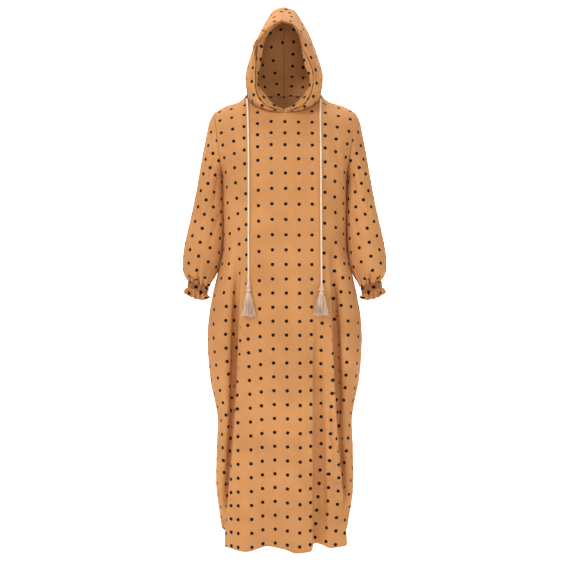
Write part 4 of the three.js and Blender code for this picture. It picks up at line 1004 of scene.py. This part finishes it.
def brim_step(x, z):
    """Cloth above the line stands forward, and just below it the cloth is drawn back."""
    (x0, z0), (x1, z1) = BRIM_LINE
    size = math.hypot(x1 - x0, z1 - z0)
    above = ((z - z0) * -(x1 - x0) + (x - x0) * (z1 - z0)) / size
    beside = smooth((x0 + 8 - x) / 14)
    forward = 4.5 * smooth((above + 1) / 2.5) * bell(above / 26)
    back = 5.0 * smooth((1 - above) / 2.5) * bell(above / 16)
    return beside * (forward - back)

def casing(side, sign):
    """The turned-in strip: from just behind the hood's face edge, rounded over, to its inner edge."""
    share = np.linspace(0, 1, 200)
    edge, near = hood_points(sign, 0.0, share), hood_points(sign, 0.03, share)
    facing = unit(np.cross(np.gradient(edge, axis=0), near - edge))
    facing = np.where(np.sum(facing * (edge - HOOD_HEART), axis=-1, keepdims=True) < 0, -facing, facing)
    left_x, right_x, y, z = np.moveaxis(look_up(CASING_ROWS, share), -1, 0)
    inner = np.stack([(left_x if sign > 0 else -right_x) + peak_shift(y, z), y, z], axis=-1)
    across = np.linspace(0, 1, 45)[None]
    points = lerp((edge - facing * 1.2)[:, None], inner[:, None], across[..., None])
    length, rise = along_rows(points), along_columns(points)
    share = share[:, None]
    groove, roll = -9.5 * bell((across - 0.1) / 0.07), 3.2 * bell((across - 0.95) / 0.05)
    puff = groove + 2.4 * np.sin(math.pi * across) + roll
    puff = puff * smooth(share / 0.06) * smooth((1 - share) / 0.05)
    if sign < 0:
        puff -= 9 * bell((across - 0.16) / 0.12) * bell((share - 0.64) / 0.1)
        puff += 1.6 * brim_step(points[..., 0], points[..., 2]) * smooth(across / 0.2)
    teeth = 1.1 * np.cos(rise / 1.8 + 1.5 * np.sin(rise / 15)) * bell((length - 0.72 * length[:, -1:]) / 3.0)
    puff += teeth * smooth(share / 0.15) * smooth((0.92 - share) / 0.1)
    ahead = np.broadcast_to(np.array([0, -1.0, 0.1]), points.shape)
    points = pushed(points, ahead, puff)
    prints = print_map((length - 3) / DOT["pitch"] * sign + 0.5, (rise[:, :1] - 6) / DOT["pitch"])
    cloth_piece(f"hood_casing_{side}_cloth", [f"hood_casing_{side}"], points, prints, ahead)

for side, sign in (("left", 1), ("right", -1)):
    hood_half(side, sign)
    casing(side, sign)

# ------------------------------------------------------------------ seam tape

def tape(name, path):
    """The bound allowance on the inside of a seam, as a soft round tape along it; its thread is coloured
    darker than the cloth, painted shade for the seam's groove.
    """
    binding = tube(path, 1.3, 10, lambda turn, along: 0.15 * np.cos(along * 2 * math.pi / 3 + turn))
    fit(add_piece(name, *binding), seam_tape_painted_shade, "crepe")

def seam_tapes(side, sign):
    ring = hood_points(sign, np.linspace(0, 1, 90), 0.0)
    tape(f"neck_seam_{side}", ring + unit(HOOD_HEART * [0, 0, 0.3] - ring) * 1.4)
    tape(f"shoulder_seam_{side}", look_up(SHOULDER_SEAM, np.linspace(0, 1, 60)) * [sign, 1, 1] - [0, 0, 1.6])
    if sign > 0:
        tape("hood_back_seam", hood_points(sign, 1.0, np.linspace(0.02, 1, 60)) - [0, 1.6, 0])
        tape("hood_top_seam", hood_points(sign, np.linspace(0, 1, 70), 1.0) - [0, 0, 1.6])
    for panel, toward in TOWARD.items():
        edge = upper_points(panel, np.array([-1.0, 0.0, 1.0]), np.linspace(0, 1, 70))[:, 2]
        tape(f"armhole_seam_{side}_{panel}", edge * [sign, 1, 1] - [sign * 0.6, toward * 1.2, 0])
    level = np.linspace(HEM["side"] + 3, UNDERARM - 3, 80)
    wide = look_up(BODY_LEVELS, level)[:, 0]
    tape(f"side_seam_{side}", np.stack([sign * (wide - 1.8), 0 * level, level], axis=-1))

for side, sign in (("left", 1), ("right", -1)):
    seam_tapes(side, sign)

# ------------------------------------------------------------------ studio

FLOOR_HEIGHT = -1.50
# place, aim, width and length in metres, and power in watts
LIGHTS = {
    "key_light": ((-2.2, -2.6, 1.9), (0, 0, -0.5), (1.5, 1.5), 76),
    "front_light": ((0.2, -4.2, 0.1), (0, 0, -0.2), (1.4, 1.4), 40),
    "fill_light": ((2.6, -2.8, 0.2), (0, 0, -0.6), (2.2, 2.6), 19),
    "top_light": ((0, 0.6, 3.0), (0, 0, -0.4), (2.5, 2.0), 34),
    "wall_light": ((0, 1.4, 2.8), (0, 4.0, -0.8), (5.0, 2.0), 260),
    "far_light": ((0, 4.4, 3.2), (0, 6.3, -0.6), (6.0, 2.0), 420),
}

def sweep():
    """A pale floor that curves up into a plain wall behind."""
    turn = np.linspace(0, math.pi / 2, 24)
    y = np.concatenate([[-6.0, 0.0], 4.8 + 1.5 * np.sin(turn), [6.3]])
    z = np.concatenate([[0, 0], 1.5 * (1 - np.cos(turn)), [7.0]]) + FLOOR_HEIGHT
    x = np.linspace(-9, 9, 8)
    points = np.stack(np.broadcast_arrays(x[None], y[:, None], z[:, None]), axis=-1) / MM
    floor = add_piece("studio_sweep", points.reshape(-1, 3), grid_faces(len(y), len(x)).tolist())
    floor.data.materials.append(Nodes("studio_paint").look(
        {"Base Color": (0.95, 0.95, 0.95, 1), "Roughness": 0.9, "Specular IOR Level": 0.1}))

def soft_light(name, place, aim, size, power):
    data = bpy.data.lights.new(name, "AREA")
    data.shape = "RECTANGLE"
    data.size, data.size_y = size
    data.energy = power
    light = bpy.data.objects.new(name, data)
    light.location = place
    x, y, z = np.array(aim, float) - np.array(place, float)
    light.rotation_euler = (math.atan2(math.hypot(x, y), -z), 0, math.atan2(y, x) - math.pi / 2)
    bpy.context.collection.objects.link(light)

sweep()
for name, facts in LIGHTS.items():
    soft_light(name, *facts)
world = bpy.data.worlds.new("studio_air")
world.use_nodes = True
world.node_tree.nodes["Background"].inputs[0].default_value = (1, 1, 1, 1)
world.node_tree.nodes["Background"].inputs[1].default_value = 0.34
bpy.context.scene.world = world
bpy.context.scene.view_settings.view_transform = "Standard"
